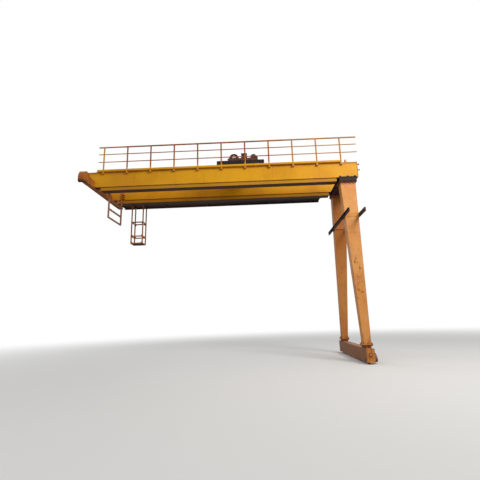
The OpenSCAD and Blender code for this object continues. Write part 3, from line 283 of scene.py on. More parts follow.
def girder_zones(f, base):
    """Painted shade, dark brown, on what faces down, a painted shadow under the upper lip, and a darker bottom
    chord.
    """
    z, ragged = f.place.part(2), f.place.noise(4, 4)
    # Painted shade: the chord's downward faces drawn dark brown.
    under = f.level.below(-0.9, -0.5) * z.below(7.43, 7.47)
    # Painted shadow: a brown band on the web just under the upper lip's overhang.
    line = (z + ragged * 0.05).between(7.97, 8.10) * z.below(8.082, 8.086)
    lip_shadowed = base.tint(srgb(140, 84, 24), line * (ragged * 0.5 + 0.25))
    return lip_shadowed.tint(srgb(150, 96, 30), z.below(7.39, 7.402) * 0.45).tint(srgb(70, 47, 36), under * 0.92)


def rail_zones(f, base):
    """The railing's ends and feet are yellow like the girder, and the rest shows its brown primer."""
    x, z = f.place.part(0), f.place.part(2)
    ragged = f.place.noise(3, 4) * 0.5
    left = (x + ragged).below(-9.5, -9.3)
    feet = (z + f.place.noise(20, 3) * 0.12).below(8.28, 8.36)
    right = (x + ragged).between(-2.4, -2.0) * 0.6
    return base.tint(srgb(236, 172, 48), left.math("MAXIMUM", feet) * 0.85).tint(srgb(222, 170, 84), right)


def leg_scuffs_and_shade(f, base):
    """Small dark scrapes on the lower half of the near leg, painted shade that makes the far leg browner, and
    painted shade at the heads.
    """
    y, z = f.place.part(1), f.place.part(2)
    band = z.between(1.6, 2.6) * z.below(3.4, 4.6) * y.between(-1.0, -0.7, 1.0, 0.35)
    marks = f.stretched(9, 9, 4.5).noise(1.0, 5, 0.6, 0.9).between(0.56, 0.64)
    spotted = f.place.noise(17, 2, 0.5).between(0.66, 0.72)
    low = z.below(0.6, 1.2) * f.stretched(8, 8, 2).noise(1, 5).between(0.46, 0.62)
    patches_and_far_shade = base.tint(srgb(238, 160, 104), f.place.noise(1.1, 4).between(0.5, 0.7) * 0.6)
    # Painted shade: the far leg drawn browner, more so higher up.
    patches_and_far_shade = patches_and_far_shade.tint(srgb(196, 116, 52), y.between(-0.3, 0.3) * z.between(2.5, 5.5, 0.35, 0.85))
    # The last term is painted shade under the head plates; the rest is scrapes, spots and darker patches near the
    # feet.
    dark = band * marks * 0.7 + spotted * 0.4 + low * 0.35 + z.between(7.02, 7.12) * 0.4
    return patches_and_far_shade.tint(srgb(104, 62, 38), dark.math("MINIMUM", 0.8))


def carriage_zones(f, base):
    """The low beam is drawn brown in uneven patches as painted shade, and the frames that hang at the runway end are
    bleached.
    """
    x, z = f.place.part(0), f.place.part(2)
    cloud = f.place.noise(2.2, 5)
    # Painted shade on the low ground beam, uneven with the cloud noise.
    beam = z.below(0.44, 0.50) * (0.95 - cloud * 0.45)
    hung = x.below(-9.4, -9.3) * x.between(-10.6, -10.5) * z.below(7.3, 7.4)
    guard = x.below(-10.3, -10.2) * cloud.between(0.3, 0.6, 0.4, 0.9)
    shaded = base.tint(srgb(140, 90, 62), beam)
    return shaded.tint(srgb(206, 134, 68), hung * 0.7).tint(srgb(190, 140, 124), hung * guard)


def primer_zones(f, base):
    """The platform's runway half is drawn lighter brown: painted light."""
    x, y = f.place.part(0), f.place.part(1)
    # Painted light on the runway half of the platform.
    brown = (x + f.place.noise(1.5, 4)).below(-6.5, -2.5) * y.between(1.1, 1.2)
    return base.tint(srgb(96, 60, 42), brown * 0.75)


FINISH = {
    "girder_paint": enamel("girder_enamel", srgb(254, 183, 22), srgb(240, 166, 20), dust=0.25, streaks=0.08,
                           grime=0.5, wear=0.3, zones=girder_zones),
    "carriage_paint": enamel("carriage_enamel", srgb(206, 128, 50), srgb(188, 106, 44), wear=0.6,
                             streaks=0.35, zones=carriage_zones),
    "leg_paint": enamel("leg_enamel", srgb(243, 170, 88), srgb(230, 150, 74), zones=leg_scuffs_and_shade, streaks=0.2,
                        grime=0.5, wear=0.35),
    "rail_paint": enamel("railing_enamel", srgb(192, 112, 50), srgb(172, 92, 42), zones=rail_zones,
                         wear=0.35, grime=0.5, streaks=0.2, edge=0.003, waves=0.001),
    "dark_paint": enamel("dark_primer", srgb(58, 40, 47), srgb(46, 33, 37), rough=0.6, dust=0.45,
                         zones=primer_zones),
    "machine_paint": greased("black_machine_paint", srgb(24, 23, 24), dust=0.3),
    "gear_paint": enamel("gearbox_enamel", srgb(102, 48, 36), srgb(86, 40, 32), rough=0.42, dust=0.3),
    "steel": bare_steel("rolled_steel", srgb(150, 148, 144)),
    "rope": wire_rope("greased_rope"),
    "buffer_rubber": rubber("buffer_rubber"),
}
BED_PAINT = enamel("bed_enamel", srgb(134, 84, 62), srgb(112, 70, 54), streaks=0.5, dust=0.4)
CASE_PAINT = enamel("gear_case_enamel", srgb(52, 42, 40), srgb(44, 36, 34), rough=0.42, wear=0.4, dust=0.35)
# A lighter copy of the carriage paint for the end plates, buffers and rail sweeps: painted light.
LIT_END_PLATE_PAINT = enamel("end_plate_enamel", srgb(248, 174, 84), srgb(222, 138, 58), wear=0.6, streaks=0.5)
BRIGHT_STEEL = bare_steel("bright_steel", srgb(232, 232, 230), rough=0.25, tarnish=0.12)
OWN_FINISH = {"hoist_bed": BED_PAINT, "gearbox": CASE_PAINT, "ground_end_plates": LIT_END_PLATE_PAINT,
              "ground_buffers": LIT_END_PLATE_PAINT}
for row in frame["record"]["subparts"]:
    node = NODES[row["node"]]
    if not node.material_slots:
        node.data.materials.append(None)
    for holder in node.material_slots:
        holder.link = "OBJECT"
        holder.material = OWN_FINISH.get(row["node"], FINISH[row["material_slot"]])


def set_studio():
    """A pale floor that fades into a white background, a soft key lamp and a weak rim lamp."""
    rim, level = 120.0, CAD_BOX[0].z - 0.001
    data = bpy.data.meshes.new("floor")
    data.from_pydata([(x * rim, y * rim, level) for x, y in ((-1, -1), (1, -1), (1, 1), (-1, 1))],
                     [], [(0, 1, 2, 3)])
    floor = bpy.data.objects.new("floor", data)
    bpy.context.scene.collection.objects.link(floor)
    f = Finish("pale_floor")
    seen = f.node("ShaderNodeLightPath", out="Is Camera Ray")
    far = f.vector("LENGTH", f.place, out=1).between(9, 34)
    f.put(Base_Color=f.colour((0.30, 0.30, 0.30)).tint((0.86, 0.86, 0.85), seen),
          Roughness=0.75 + f.place.noise(3, 5) * 0.1)
    glow = f.node("ShaderNodeEmission", None, {"Color": (1, 1, 1, 1), "Strength": 1.0})
    body = Wire(f.tree, f.shader.outputs[0])
    mixed = f.node("ShaderNodeMixShader", None, {0: far * seen, 1: body, 2: glow})
    f.tree.links.new(mixed.socket, next(n for n in f.tree.nodes if n.type == "OUTPUT_MATERIAL").inputs[0])
    data.materials.append(f.material)

    world = bpy.data.worlds.new("studio")
    world.use_nodes = True
    bpy.context.scene.world = world
    back = world.node_tree.nodes["Background"]
    camera, glossy, through = (Wire(world.node_tree).node("ShaderNodeLightPath", out=name)
                               for name in ("Is Camera Ray", "Is Glossy Ray", "Is Transmission Ray"))
    strength = camera.math("MAXIMUM", through).between(0.0, 1.0, 0.50, 1.0) + glossy * 0.30
    world.node_tree.links.new(strength.math("MINIMUM", 1.0).socket, back.inputs["Strength"])
    back.inputs["Color"].default_value = (1, 1, 1, 1)

    for name, place, aim, size, power, colour in (
            ("key", (5.5, -11.0, 13.5), (-1.8, 0, 6.6), 5.0, 1250, (1.0, 0.97, 0.92)),
            ("rim", (-9.0, 9.0, 12.0), (-5.0, 0, 8.0), 6.0, 260, (0.95, 0.97, 1.0))):
        lamp = bpy.data.lights.new(name, "AREA")
        lamp.size, lamp.energy, lamp.color = size, power, colour
        light = bpy.data.objects.new(name, lamp)
        light.location = place
        light.rotation_euler = (Vector(aim) - Vector(place)).to_track_quat("-Z", "Y").to_euler()
        bpy.context.scene.collection.objects.link(light)
    bpy.context.scene.view_settings.view_transform = "Standard"


set_studio()


# For each axis, the two directions of an outline across it and the axis itself.
AXES = {"X": (Vector((0, 1, 0)), Vector((0, 0, 1)), Vector((1, 0, 0))),
        "Y": (Vector((1, 0, 0)), Vector((0, 0, 1)), Vector((0, 1, 0))),
        "Z": (Vector((1, 0, 0)), Vector((0, 1, 0)), Vector((0, 0, 1)))}


def round_angles(count, start=0.0):
    return [start + TURN * i / count for i in range(count)]


def spoke(angle):
    """Directions out from a shaft along Y and round it, at an angle from X towards Z."""
    return Vector((math.cos(angle), 0, math.sin(angle))), Vector((-math.sin(angle), 0, math.cos(angle)))


def keep(data, name, body, slot, sharp, finish=None):
    """A plain mesh made a piece: smooth where it is round, with its finish, riding on its body."""
    data.name = name
    data.shade_smooth()
    data.set_sharp_from_angle(angle=math.radians(sharp))
    if not data.materials:
        data.materials.append(finish or FINISH[slot])
    piece = bpy.data.objects.new(name, data)
    bpy.context.scene.collection.objects.link(piece)
    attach(piece, body)
    return piece


class Shape:
    """Closed solids collected in one mesh, in metres, in the crane's own frame."""

    def __init__(self):
        self.mesh = bmesh.new()

    def loft(self, rings, loop=False):
        """A skin over rings of points, closed at both ends unless it joins up with its start."""
        made = [[self.mesh.verts.new(point) for point in ring] for ring in rings]
        count = len(made[0])
        for a, b in zip(made, made[1:] + made[:1] if loop else made[1:]):
            for i in range(count):
                j = (i + 1) % count
                self.mesh.faces.new((a[i], a[j], b[j], b[i]))
        if not loop:
            self.mesh.faces.new(made[0][::-1])
            self.mesh.faces.new(made[-1])

    def block(self, corner, opposite):
        """A box between two opposite corners, given in any order."""
        (a, d), (b, e), (c, f) = (sorted(pair) for pair in zip(corner, opposite))
        self.loft([[(a, b, z), (d, b, z), (d, e, z), (a, e, z)] for z in (c, f)])

    def prism(self, along, outline, start, end):
        """An outline drawn out along an axis. It is given in the other two, in their order."""
        u, v, w = AXES[along]
        self.loft([[u * p + v * q + w * t for p, q in outline] for t in (start, end)])

    def plate(self, along, outline, middle, half):
        """A prism of an even thickness, drawn out by half of it each way from its middle."""
        self.prism(along, outline, middle - half, middle + half)

    def turned(self, along, centre, profile, steps, loop=False, way=1):
        """A profile of (radius, place on the axis) turned round an axis through the centre. Way -1 flips it."""
        u, v, w = AXES[along]
        self.loft([[Vector(centre) + w * (t * way) + (u * math.cos(a) + v * math.sin(a)) * r
                    for a in round_angles(steps)] for r, t in profile], loop)

    def swept(self, path, radius, steps=10):
        """A round bar along a path."""
        path = [Vector(point) for point in path]
        rings, normal = [], None
        for i, point in enumerate(path):
            ahead = (path[min(i + 1, len(path) - 1)] - path[max(i - 1, 0)]).normalized()
            if normal is None:
                normal = ahead.orthogonal().normalized()
            normal = (normal - ahead * normal.dot(ahead)).normalized()
            other = ahead.cross(normal)
            rings.append([point + (normal * math.cos(a) + other * math.sin(a)) * radius
                          for a in round_angles(steps)])
        self.loft(rings)

    def piece(self, name, body, slot, bevel, sharp=35, finish=None):
        """The solids kept as one piece, its edges rounded by the bevel."""
        bmesh.ops.recalc_face_normals(self.mesh, faces=self.mesh.faces)
        data = bpy.data.meshes.new(name)
        self.mesh.to_mesh(data)
        self.mesh.free()
        made = keep(data, name, body, slot, sharp, finish)
        if bevel:
            rounding = made.modifiers.new("rounding", "BEVEL")
            rounding.width, rounding.segments = bevel, 2
            rounding.limit_method, rounding.angle_limit = "ANGLE", math.radians(sharp)
            rounding.use_clamp_overlap = True
        return made


def arc(centre, radius, start, end, steps):
    """Points of a circle's arc in a plane, angles in degrees."""
    return [(centre[0] + radius * math.cos(math.radians(start + (end - start) * i / steps)),
             centre[1] + radius * math.sin(math.radians(start + (end - start) * i / steps)))
            for i in range(steps + 1)]


def rounded(low, high, radius, steps=3):
    """A rectangle with round corners, in a plane."""
    (a, b), (c, d) = low, high
    corners = ((c - radius, d - radius, 0), (a + radius, d - radius, 90),
               (a + radius, b + radius, 180), (c - radius, b + radius, 270))
    return [p for x, y, start in corners for p in arc((x, y), radius, start, start + 90, steps)]


def bend(points, radius):
    """A path of straight runs with its corners rounded, each in five steps."""
    points = [Vector(p) for p in points]
    made = [points[0]]
    for before, corner, after in zip(points, points[1:], points[2:]):
        reach = min(radius, (corner - before).length * 0.45, (after - corner).length * 0.45)
        a = corner + (before - corner).normalized() * reach
        b = corner + (after - corner).normalized() * reach
        made += [a.lerp(corner, t).lerp(corner.lerp(b, t), t) for t in (i / 5 for i in range(6))]
    return made + [points[-1]]


class Recipe(Wire):
    """A tree of Geometry Nodes with named sizes. It runs on a source mesh and leaves a plain one."""

    def __init__(self, name):
        super().__init__(bpy.data.node_groups.new(name, "GeometryNodeTree"))
        self.tree.interface.new_socket("Geometry", in_out="OUTPUT", socket_type="NodeSocketGeometry")
        self.given = self.tree.nodes.new("NodeGroupInput")
        self.names = {}
        self.source = self.size("Source", "NodeSocketGeometry")
        self.finish = self.size("Finish", "NodeSocketMaterial")

    def size(self, name, kind="NodeSocketFloat"):
        made = self.tree.interface.new_socket(name, in_out="INPUT", socket_type=kind)
        self.names[name] = made.identifier
        return Wire(self.tree, self.given.outputs[name])

    def add(self, kind, values=None, settings=None, out=0):
        return self.node("GeometryNode" + kind, settings, values, out)

    def named(self, name, kind="FLOAT"):
        return self.add("InputNamedAttribute", {0: name}, {"data_type": kind})

    def xyz(self, x=0.0, y=0.0, z=0.0):
        return self.node("ShaderNodeCombineXYZ", None, {0: x, 1: y, 2: z})

    def turn(self, angles):
        return self.node("FunctionNodeEulerToRotation", None, {0: angles})

    def random(self, low, high, seed):
        return self.node("FunctionNodeRandomValue", {"data_type": "FLOAT"},
                               {2: low, 3: high, "Seed": seed}, out=1)

    def curve(self):
        return self.add("MeshToCurve", {0: self.source})

    def evenly(self, curve, pitch):
        return self.add("ResampleCurve", {"Curve": curve, "Length": pitch}, {"mode": "LENGTH"})

    def rod(self, sides, radius, height, at=(0, 0, 0)):
        made = self.add("MeshCylinder", {"Vertices": sides, "Radius": radius, "Depth": height})
        return self.moved(made, at)

    def moved(self, shape, at, turn=(0, 0, 0), scale=(1, 1, 1)):
        return self.add("Transform", {"Geometry": shape, "Translation": at, "Rotation": turn, "Scale": scale})

    def joined(self, *shapes):
        return self.add("JoinGeometry", {0: list(shapes)})

    def circle(self, sides, radius):
        return self.add("CurvePrimitiveCircle", {"Resolution": sides, "Radius": radius})

    def tube(self, curve, profile):
        return self.add("CurveToMesh", {"Curve": curve, "Profile Curve": profile, "Fill Caps": True})

    def placed(self, points, shape, turn=None):
        """The shape on each point with the given turn, or faced and sized as the point says."""
        way = turn or self.node("FunctionNodeAlignRotationToVector", {"axis": "Z"}, {
            "Vector": self.named("facing", "FLOAT_VECTOR")})
        return self.add("InstanceOnPoints", {"Points": points, "Instance": shape, "Rotation": way,
                                             "Scale": (1, 1, 1) if turn else self.named("size")})

    def end(self, shape):
        """The tree's last steps: the shapes made real, and painted."""
        real = self.add("RealizeInstances", {0: shape})
        painted = self.add("SetMaterial", {"Geometry": real, "Material": self.finish})
        self.tree.links.new(painted.socket, self.tree.nodes.new("NodeGroupOutput").inputs[0])
        return self

    def run(self, name, body, slot, source, sharp=35, **sizes):
        """The plain mesh that the tree makes of a source, kept as a piece."""
        holder = bpy.data.objects.new(name, source)
        bpy.context.scene.collection.objects.link(holder)
        recipe = holder.modifiers.new(self.tree.name, "NODES")
        recipe.node_group = self.tree
        recipe[self.names["Finish"]] = FINISH[slot]
        for key, value in sizes.items():
            recipe[self.names[key]] = value
        graph = bpy.context.evaluated_depsgraph_get()
        made = bpy.data.meshes.new_from_object(holder.evaluated_get(graph), depsgraph=graph)
        holder.modifiers.remove(recipe)
        bpy.data.objects.remove(holder)
        for attribute in [a for a in made.attributes if a.name in ("facing", "size")]:
            made.attributes.remove(attribute)
        return keep(made, name, body, slot, sharp)


def spots(rows):
    """A mesh of loose points, each (place, facing, size), for a recipe to stand shapes on."""
    data = bpy.data.meshes.new("spots")
    data.from_pydata([place for place, _, _ in rows], [], [])
    facing = data.attributes.new("facing", "FLOAT_VECTOR", "POINT")
    facing.data.foreach_set("vector", [c for _, way, _ in rows for c in way])
    size = data.attributes.new("size", "FLOAT", "POINT")
    size.data.foreach_set("value", [s for _, _, s in rows])
    return data


def lines(paths):
    """A mesh of polylines, for a recipe to follow."""
    data = bpy.data.meshes.new("lines")
    points, edges = [], []
    for path in paths:
        edges += [(len(points) + i, len(points) + i + 1) for i in range(len(path) - 1)]
        points += [tuple(p) for p in path]
    data.from_pydata(points, edges, [])
    return data


def bolt_recipe():
    """Hexagon nut on a washer with the bolt's end standing out, for a bolt 1 across."""
    r = Recipe("bolts")
    stud = r.size("Stud")
    shape = r.joined(r.rod(14, 1.08, 0.2, (0, 0, 0.04)), r.rod(6, 0.92, 0.7, (0, 0, 0.45)),
                     r.moved(r.rod(10, 0.5, stud), r.xyz(z=0.8 + stud / 2)))
    spun = r.add("RotateInstances", {"Instances": r.placed(r.source, shape),
                                     "Rotation": r.xyz(z=r.random(0.0, TURN / 6, 3))})
    return r.end(spun)


def bead_recipe():
    """Weld bead along lines, with the ripple of its runs."""
    r = Recipe("weld_beads")
    radius, pitch = r.size("Radius"), r.size("Pitch")
    fine = r.evenly(r.curve(), pitch)
    rippled = r.add("SetCurveRadius", {"Curve": fine, "Radius": r.random(0.8, 1.25, 5)})
    return r.end(r.tube(rippled, r.circle(6, radius)))


def collar_recipe():
    """Ring of weld round a tube at each point, for a tube of radius 1."""
    r = Recipe("collars")
    ring = r.tube(r.circle(18, 1.03), r.circle(6, r.size("Weld")))
    return r.end(r.placed(r.source, ring))


def clip_recipe():
    """Rail clips at a pitch along lines: a bevelled plate held by a bolt."""
    r = Recipe("rail_clips")
    points = r.evenly(r.curve(), r.size("Pitch"))
    foot = r.add("MeshCone", {"Vertices": 4, "Radius Top": 0.022, "Radius Bottom": 0.034, "Depth": 0.015})
    plate = r.moved(foot, (0, 0, -0.002), (0, 0, TURN / 8))
    shape = r.joined(plate, r.rod(6, 0.011, 0.009, (0, 0, 0.009)), r.rod(8, 0.006, 0.006, (0, 0, 0.014)))
    return r.end(r.placed(points, shape, r.turn((0.0, 0.0, 0.0))))


def tread_recipe():
    """Raised bars of tread plate on a level sheet, each turned across its neighbours."""
    r = Recipe("tread_bars")
    middle = r.size("Middle", "NodeSocketVector")
    length, width, pitch = r.size("Length"), r.size("Width"), r.size("Pitch")
    grid = r.add("MeshGrid", {
        "Size X": length, "Size Y": width, "Vertices X": (length / pitch).math("FLOOR") + 1,
        "Vertices Y": (width / pitch).math("FLOOR") + 1})
    place = r.add("InputPosition")
    column = ((place.part(0) + length / 2) / pitch).math("ROUND")
    line = ((place.part(1) + width / 2) / pitch).math("ROUND")
    bar = r.moved(r.rod(6, 0.5, 1.0), (0, 0, 0.0006), scale=(0.030, 0.009, 0.0036))
    turn = r.turn(r.xyz(z=(column + line).math("MODULO", 2.0) * (TURN / 4) + TURN / 8))
    return r.end(r.placed(r.add("SetPosition", {"Geometry": grid, "Offset": middle}), bar, turn))


def fin_recipe():
    """Cooling fins round motors whose shafts lie along Y. Each source point is a motor's middle."""
    r = Recipe("motor_fins")
    radius, height, length = r.size("Radius"), r.size("Height"), r.size("Length")
    count = r.size("Count", "NodeSocketInt")
    angle = r.add("InputIndex") * TURN / count
    place = r.xyz(angle.math("COSINE") * radius, 0.0, angle.math("SINE") * radius)
    points = r.add("Points", {"Count": count, "Position": place})
    fin = r.add("MeshCube", {"Size": r.xyz(height * 2, length, 0.0035)})
    ring = r.placed(points, fin, r.turn(r.xyz(y=angle * -1.0)))
    return r.end(r.placed(r.source, ring, r.turn((0.0, 0.0, 0.0))))


def rope_recipe():
    """Wire rope of six strands laid round the lines that it follows."""
    r = Recipe("wire_rope")
    radius, lay = r.size("Radius"), r.size("Lay")
    fine = r.evenly(r.curve(), lay / 9)
    normal = r.add("InputNormal")
    other = r.vector("CROSS_PRODUCT", r.add("InputTangent"), normal)
    done = r.add("SplineParameter", out="Length")
    strands = []
    for start in round_angles(6):
        angle = done / lay * TURN + start
        out, side = (r.node("ShaderNodeVectorMath", {"operation": "SCALE"}, {
            0: way, "Scale": angle.math(part) * radius * 0.64})
            for way, part in ((normal, "COSINE"), (other, "SINE")))
        moved = r.add("SetPosition", {"Geometry": fine, "Offset": r.vector("ADD", out, side)})
        strands.append(r.tube(moved, r.circle(6, radius * 0.36)))
    return r.end(r.joined(r.tube(fine, r.circle(8, radius * 0.55)), *strands))


def rope_winding_recipe():
    """One layer of rope wound on half a drum whose axis is Y, from its middle outwards."""
    r = Recipe("rope_winding")
    radius, rope, turns, start = r.size("Radius"), r.size("Rope"), r.size("Turns"), r.size("Start")
    hand, centre = r.size("Hand"), r.size("Centre", "NodeSocketVector")
    straight = r.add("CurvePrimitiveLine", {"Start": (0, 0, 0), "End": (0, 1, 0)})
    fine = r.add("ResampleCurve", {"Curve": straight, "Count": 900})
    share = r.add("SplineParameter")
    angle = share * turns * TURN
    place = r.xyz(angle.math("SINE") * radius, (share * turns * rope + start) * hand,
                  angle.math("COSINE") * radius)
    moved = r.add("SetPosition", {"Geometry": fine, "Position": place, "Offset": centre})
    return r.end(r.joined(r.tube(moved, r.circle(7, rope * 0.49)), r.source))


BOLTS, BEADS, COLLARS, CLIPS = bolt_recipe(), bead_recipe(), collar_recipe(), clip_recipe()
TREADS, FINS, ROPES, WINDING = tread_recipe(), fin_recipe(), rope_recipe(), rope_winding_recipe()


def bolts(name, body, rows, slot="steel"):
    return BOLTS.run(name, body, slot, spots(rows), Stud=0.35)


def beads(name, body, slot, paths, radius=0.005, pitch=0.016):
    return BEADS.run(name, body, slot, lines(paths), sharp=60, Radius=radius, Pitch=pitch)


def treads(name, body, slot, middle, length, width, pitch=0.06):
    return TREADS.run(name, body, slot, spots([((0, 0, 0), UP, 1)]),
                      Middle=middle, Length=length, Width=width, Pitch=pitch)


def fins(name, body, slot, middles, radius, height, length, count):
    return FINS.run(name, body, slot, spots([(middle, UP, 1) for middle in middles]),
                    Radius=radius, Height=height, Length=length, Count=count)


def ring_of(centre, along, radius, count, way, size, start=0.0):
    """Bolts in a ring round an axis, facing along it or, with way -1, against it."""
    u, v, w = AXES[along]
    return [(Vector(centre) + (u * math.cos(a) + v * math.sin(a)) * radius, w * way, size)
            for a in round_angles(count, start)]


def four(centre, dx, dy, way, size):
    """Bolts at the corners of a level plate."""
    x, y, z = centre
    return [((x + a * dx, y + b * dy, z), way, size) for a in SIDES for b in SIDES]


# The bridge: two box girders with their rails, stops, railings and platform.
OUT, INN, TOP, BOX = 1.185, 0.785, 8.093, 7.403  # web faces from the middle, top plate and foot of the box
GIRDER_LEFT, GIRDER_RIGHT = -11.28, 0.578
CHORD_LEFT, CHORD_RIGHT, CHORD_PLATE = -10.627, -0.355, 7.348
RAIL_Y = 0.895
STOPS = ((0.130, 1), (-10.88, -1))  # the face of each end stop, and the way to the bridge's end
POSTS = [-10.535 + 1.043 * i for i in range(11)]
FAR_POSTS = POSTS[:10]
POST_Y, FAR_POST_Y = -1.241, 1.879
WALK_Z, FAR_WALK_Z = 8.173, 7.301
SEAMS = (-9.15, -6.12, -3.09)


def girder_welds():
    paths, end = [], GIRDER_RIGHT - 0.002
    for s in SIDES:
        for y, start in ((s * (OUT + 0.002), -10.6), (s * (INN - 0.002), -10.3)):
            paths += [[(GIRDER_LEFT + 0.01, y, TOP - 0.016), (end, y, TOP - 0.016)],
                      [(start, y, BOX + 0.016), (end, y, BOX + 0.016)]]
            paths += [[(x, y, BOX + 0.02), (x, y, TOP - 0.02)] for x in (end, *SEAMS)]
        for y in (s * (OUT - 0.029), s * (INN + 0.029)):
            paths += [[(CHORD_LEFT + 0.01, y, z), (CHORD_RIGHT - 0.01, y, z)]
                      for z in (CHORD_PLATE + 0.001, BOX - 0.001)]
    beads("girder_welds", "root", "girder_paint", paths, 0.0055, 0.022)


def rail_fixings():
    paths = [[(x, s * (RAIL_Y + d), TOP + 0.0085) for x in (-11.12, 0.44)]
             for s in SIDES for d in (-0.047, 0.047)]
    CLIPS.run("rail_clips", "root", "dark_paint", lines(paths), Pitch=0.62)
    pads, caps, rows, paths = Shape(), Shape(), [], []
    for s in SIDES:
        for face, way in STOPS:
            pads.turned("X", (face, s * RAIL_Y, TOP + 0.165),
                        [(0.046, 0.004), (0.046, -0.006), (0.038, -0.0115)], 28, way=way)
            for d in SIDES:
                y = s * (RAIL_Y + d * 0.0505)
                paths.append([(face + way * t, y, TOP + 0.002) for t in (0.004, 0.126)])
                rows += [((face + way * t, y, TOP + 0.06), (0, s * d, 0), 0.014) for t in (0.035, 0.085)]
            caps.plate("Y", [(face + way * t, TOP + h) for t, h in
                             ((0.002, 0.21), (0.004, 0.231), (0.052, 0.231), (0.05, 0.21))],
                       s * RAIL_Y, 0.058)
    pads.piece("stop_pads", "root", "buffer_rubber", 0.0015)
    beads("stop_welds", "root", "girder_paint", paths, 0.006, 0.012)
    bolts("stop_bolts", "root", rows)
    caps.piece("stop_caps", "root", "girder_paint", 0.003)


def railing_details():
    rows = []
    for posts, y, walk in ((POSTS, POST_Y, WALK_Z), (FAR_POSTS, FAR_POST_Y, FAR_WALK_Z)):
        for x in posts:
            rows += [((x + d, y, walk + 1.1 * share), (1, 0, 0), 0.020)
                     for share in (1 / 3, 2 / 3) for d in (-0.033, 0.033)]
            rows.append(((x, y, walk + 1.034), UP, 0.032))
            if y == FAR_POST_Y:
                rows.append(((x, y, walk + 0.002), UP, 0.033))
    COLLARS.run("railing_welds", "root", "rail_paint", spots(rows), sharp=60, Weld=0.14)
    ends = Shape()
    for base, y, span in ((WALK_Z, POST_Y, (-10.765, 0.609)), (FAR_WALK_Z, FAR_POST_Y, (-10.599, -1.084))):
        for height, r in ((1.068, 0.032), (1.1 / 3, 0.02), (2.2 / 3, 0.02)):
            for x, way in zip(span, SIDES):
                dome = [(r * math.cos(a), way * (0.55 * r * math.sin(a) - 0.001))
                        for a in (TURN / 4 * i / 5 * 0.95 for i in range(6))]
                ends.turned("X", (x, y, base + height), [(r, -way * 0.006), *dome], 20)
            for joint in (-8.2, -3.4, -6.0):
                ends.turned("X", (joint + height * 0.2, y, base + height),
                            [(r * 1.02, -0.05), (r * 1.09, -0.048), (r * 1.09, 0.048), (r * 1.02, 0.05)], 20)
    ends.piece("railing_caps_and_sleeves", "root", "rail_paint", 0)
    knobs = Shape()
    for x in POSTS:
        knobs.turned("Y", (x, POST_Y - 0.03, TOP - 0.072),
                     [(0.040, 0.004), (0.040, -0.004), (0.034, -0.011), (0.02, -0.0145), (0.006, -0.0155)], 24)
        for d in SIDES:
            knobs.plate("X", [(-1.188, TOP - 0.128), (-1.188, TOP - 0.108),
                              (-1.268, TOP - 0.109), (-1.262, TOP - 0.114)],
                        x + d * 0.036, 0.004)
    knobs.piece("post_knobs", "root", "rail_paint", 0.0015)
    bolts("post_bolts", "root", [((x + d * 0.030, -1.2725, TOP - z), (0, -1, 0), 0.009)
                                 for x in POSTS for d in SIDES for z in (0.044, 0.1)])
    bases, rows = Shape(), []
    for x in FAR_POSTS:
        bases.prism("Z", rounded((x - 0.06, 1.822), (x + 0.06, 1.9105), 0.014),
                    FAR_WALK_Z - 0.001, FAR_WALK_Z + 0.009)
        rows += [((x + d * 0.045, y, FAR_WALK_Z + 0.009), UP, 0.011) for d in SIDES for y in (1.836, 1.897)]
    bases.block((CHORD_LEFT + 0.004, 1.9115, FAR_WALK_Z - 0.04), (-0.704, 1.9149, FAR_WALK_Z + 0.10))
    bases.piece("far_post_bases_and_toe_plate", "root", "dark_paint", 0.0015)
    bolts("far_post_bolts", "root", rows)


def platform_details():
    treads("platform_treads", "root", "dark_paint", (-5.66, 1.515, FAR_WALK_Z), 9.78, 0.54)
    strips = Shape()
    for x in [CHORD_LEFT + 2.48 * i for i in (1, 2, 3)]:
        strips.block((x - 0.03, 1.19, FAR_WALK_Z - 0.001), (x + 0.03, 1.845, FAR_WALK_Z + 0.004))
    for x in FAR_POSTS:
        strips.plate("X", [(1.186, 7.31), (1.186, 7.37), (1.194, 7.37), (1.245, 7.31)], x, 0.005)
    strips.block((CHORD_LEFT + 0.01, 1.1855, 7.302), (-0.71, 1.1925, 7.395))
    strips.piece("platform_joint_strips", "root", "dark_paint", 0.001)
    paths = [[(x + d, 1.24, 7.234), (x + d, 1.86, 7.234)] for x in FAR_POSTS for d in (-0.025, 0.025)]
    beads("platform_welds", "root", "dark_paint", paths, 0.004, 0.02)
    bolts("platform_bolts", "root", [((x + d, 1.1925, 7.355), (0, 1, 0), 0.012)
                                     for x in FAR_POSTS for d in (-0.09, 0.09)])


def bracket_details():
    x, y = 0.59, -1.173
    hook = Shape()
    for z in (7.713, 7.9678):
        hook.prism("Y", [(x + a, z + b) for a, b in ((0.086, 0.0126), (0.089, 0.012), (0.089, 0.055),
                                                     (0.082, 0.06), (0.076, 0.055), (0.076, 0.0126))],
                   y + 0.004, y + 0.056)
        hook.prism("Y", [(x + 0.006, z + 0.02), (x + 0.045, z + 0.02), (x + 0.006, z + 0.06)],
                   y + 0.024, y + 0.036)
    hook.piece("end_bracket_hooks", "root", "dark_paint", 0.002)
    bolts("end_bracket_bolts", "root",
          [((x + 0.008, y + 0.03, z), (1, 0, 0), 0.014) for z in (7.80, 7.853, 7.905)])
    covers, rows = Shape(), []
    for y in (-0.985, 0.985):
        covers.prism("X", rounded((y - 0.11, 7.60), (y + 0.11, 7.90), 0.05, 5), x - 0.001, x + 0.009)
        covers.swept(bend([(x + 0.006, y, 7.70), (x + 0.04, y, 7.70), (x + 0.04, y, 7.80), (x + 0.006, y, 7.80)],
                          0.018), 0.006)
        rows += [((x + 0.009, y + dy, 7.75 + dz), (1, 0, 0), 0.010)
                 for dy in (-0.092, 0.092) for dz in (-0.12, -0.04, 0.04, 0.12)]
    covers.piece("girder_end_covers", "root", "girder_paint", 0.003)
    bolts("girder_end_cover_bolts", "root", rows, "girder_paint")


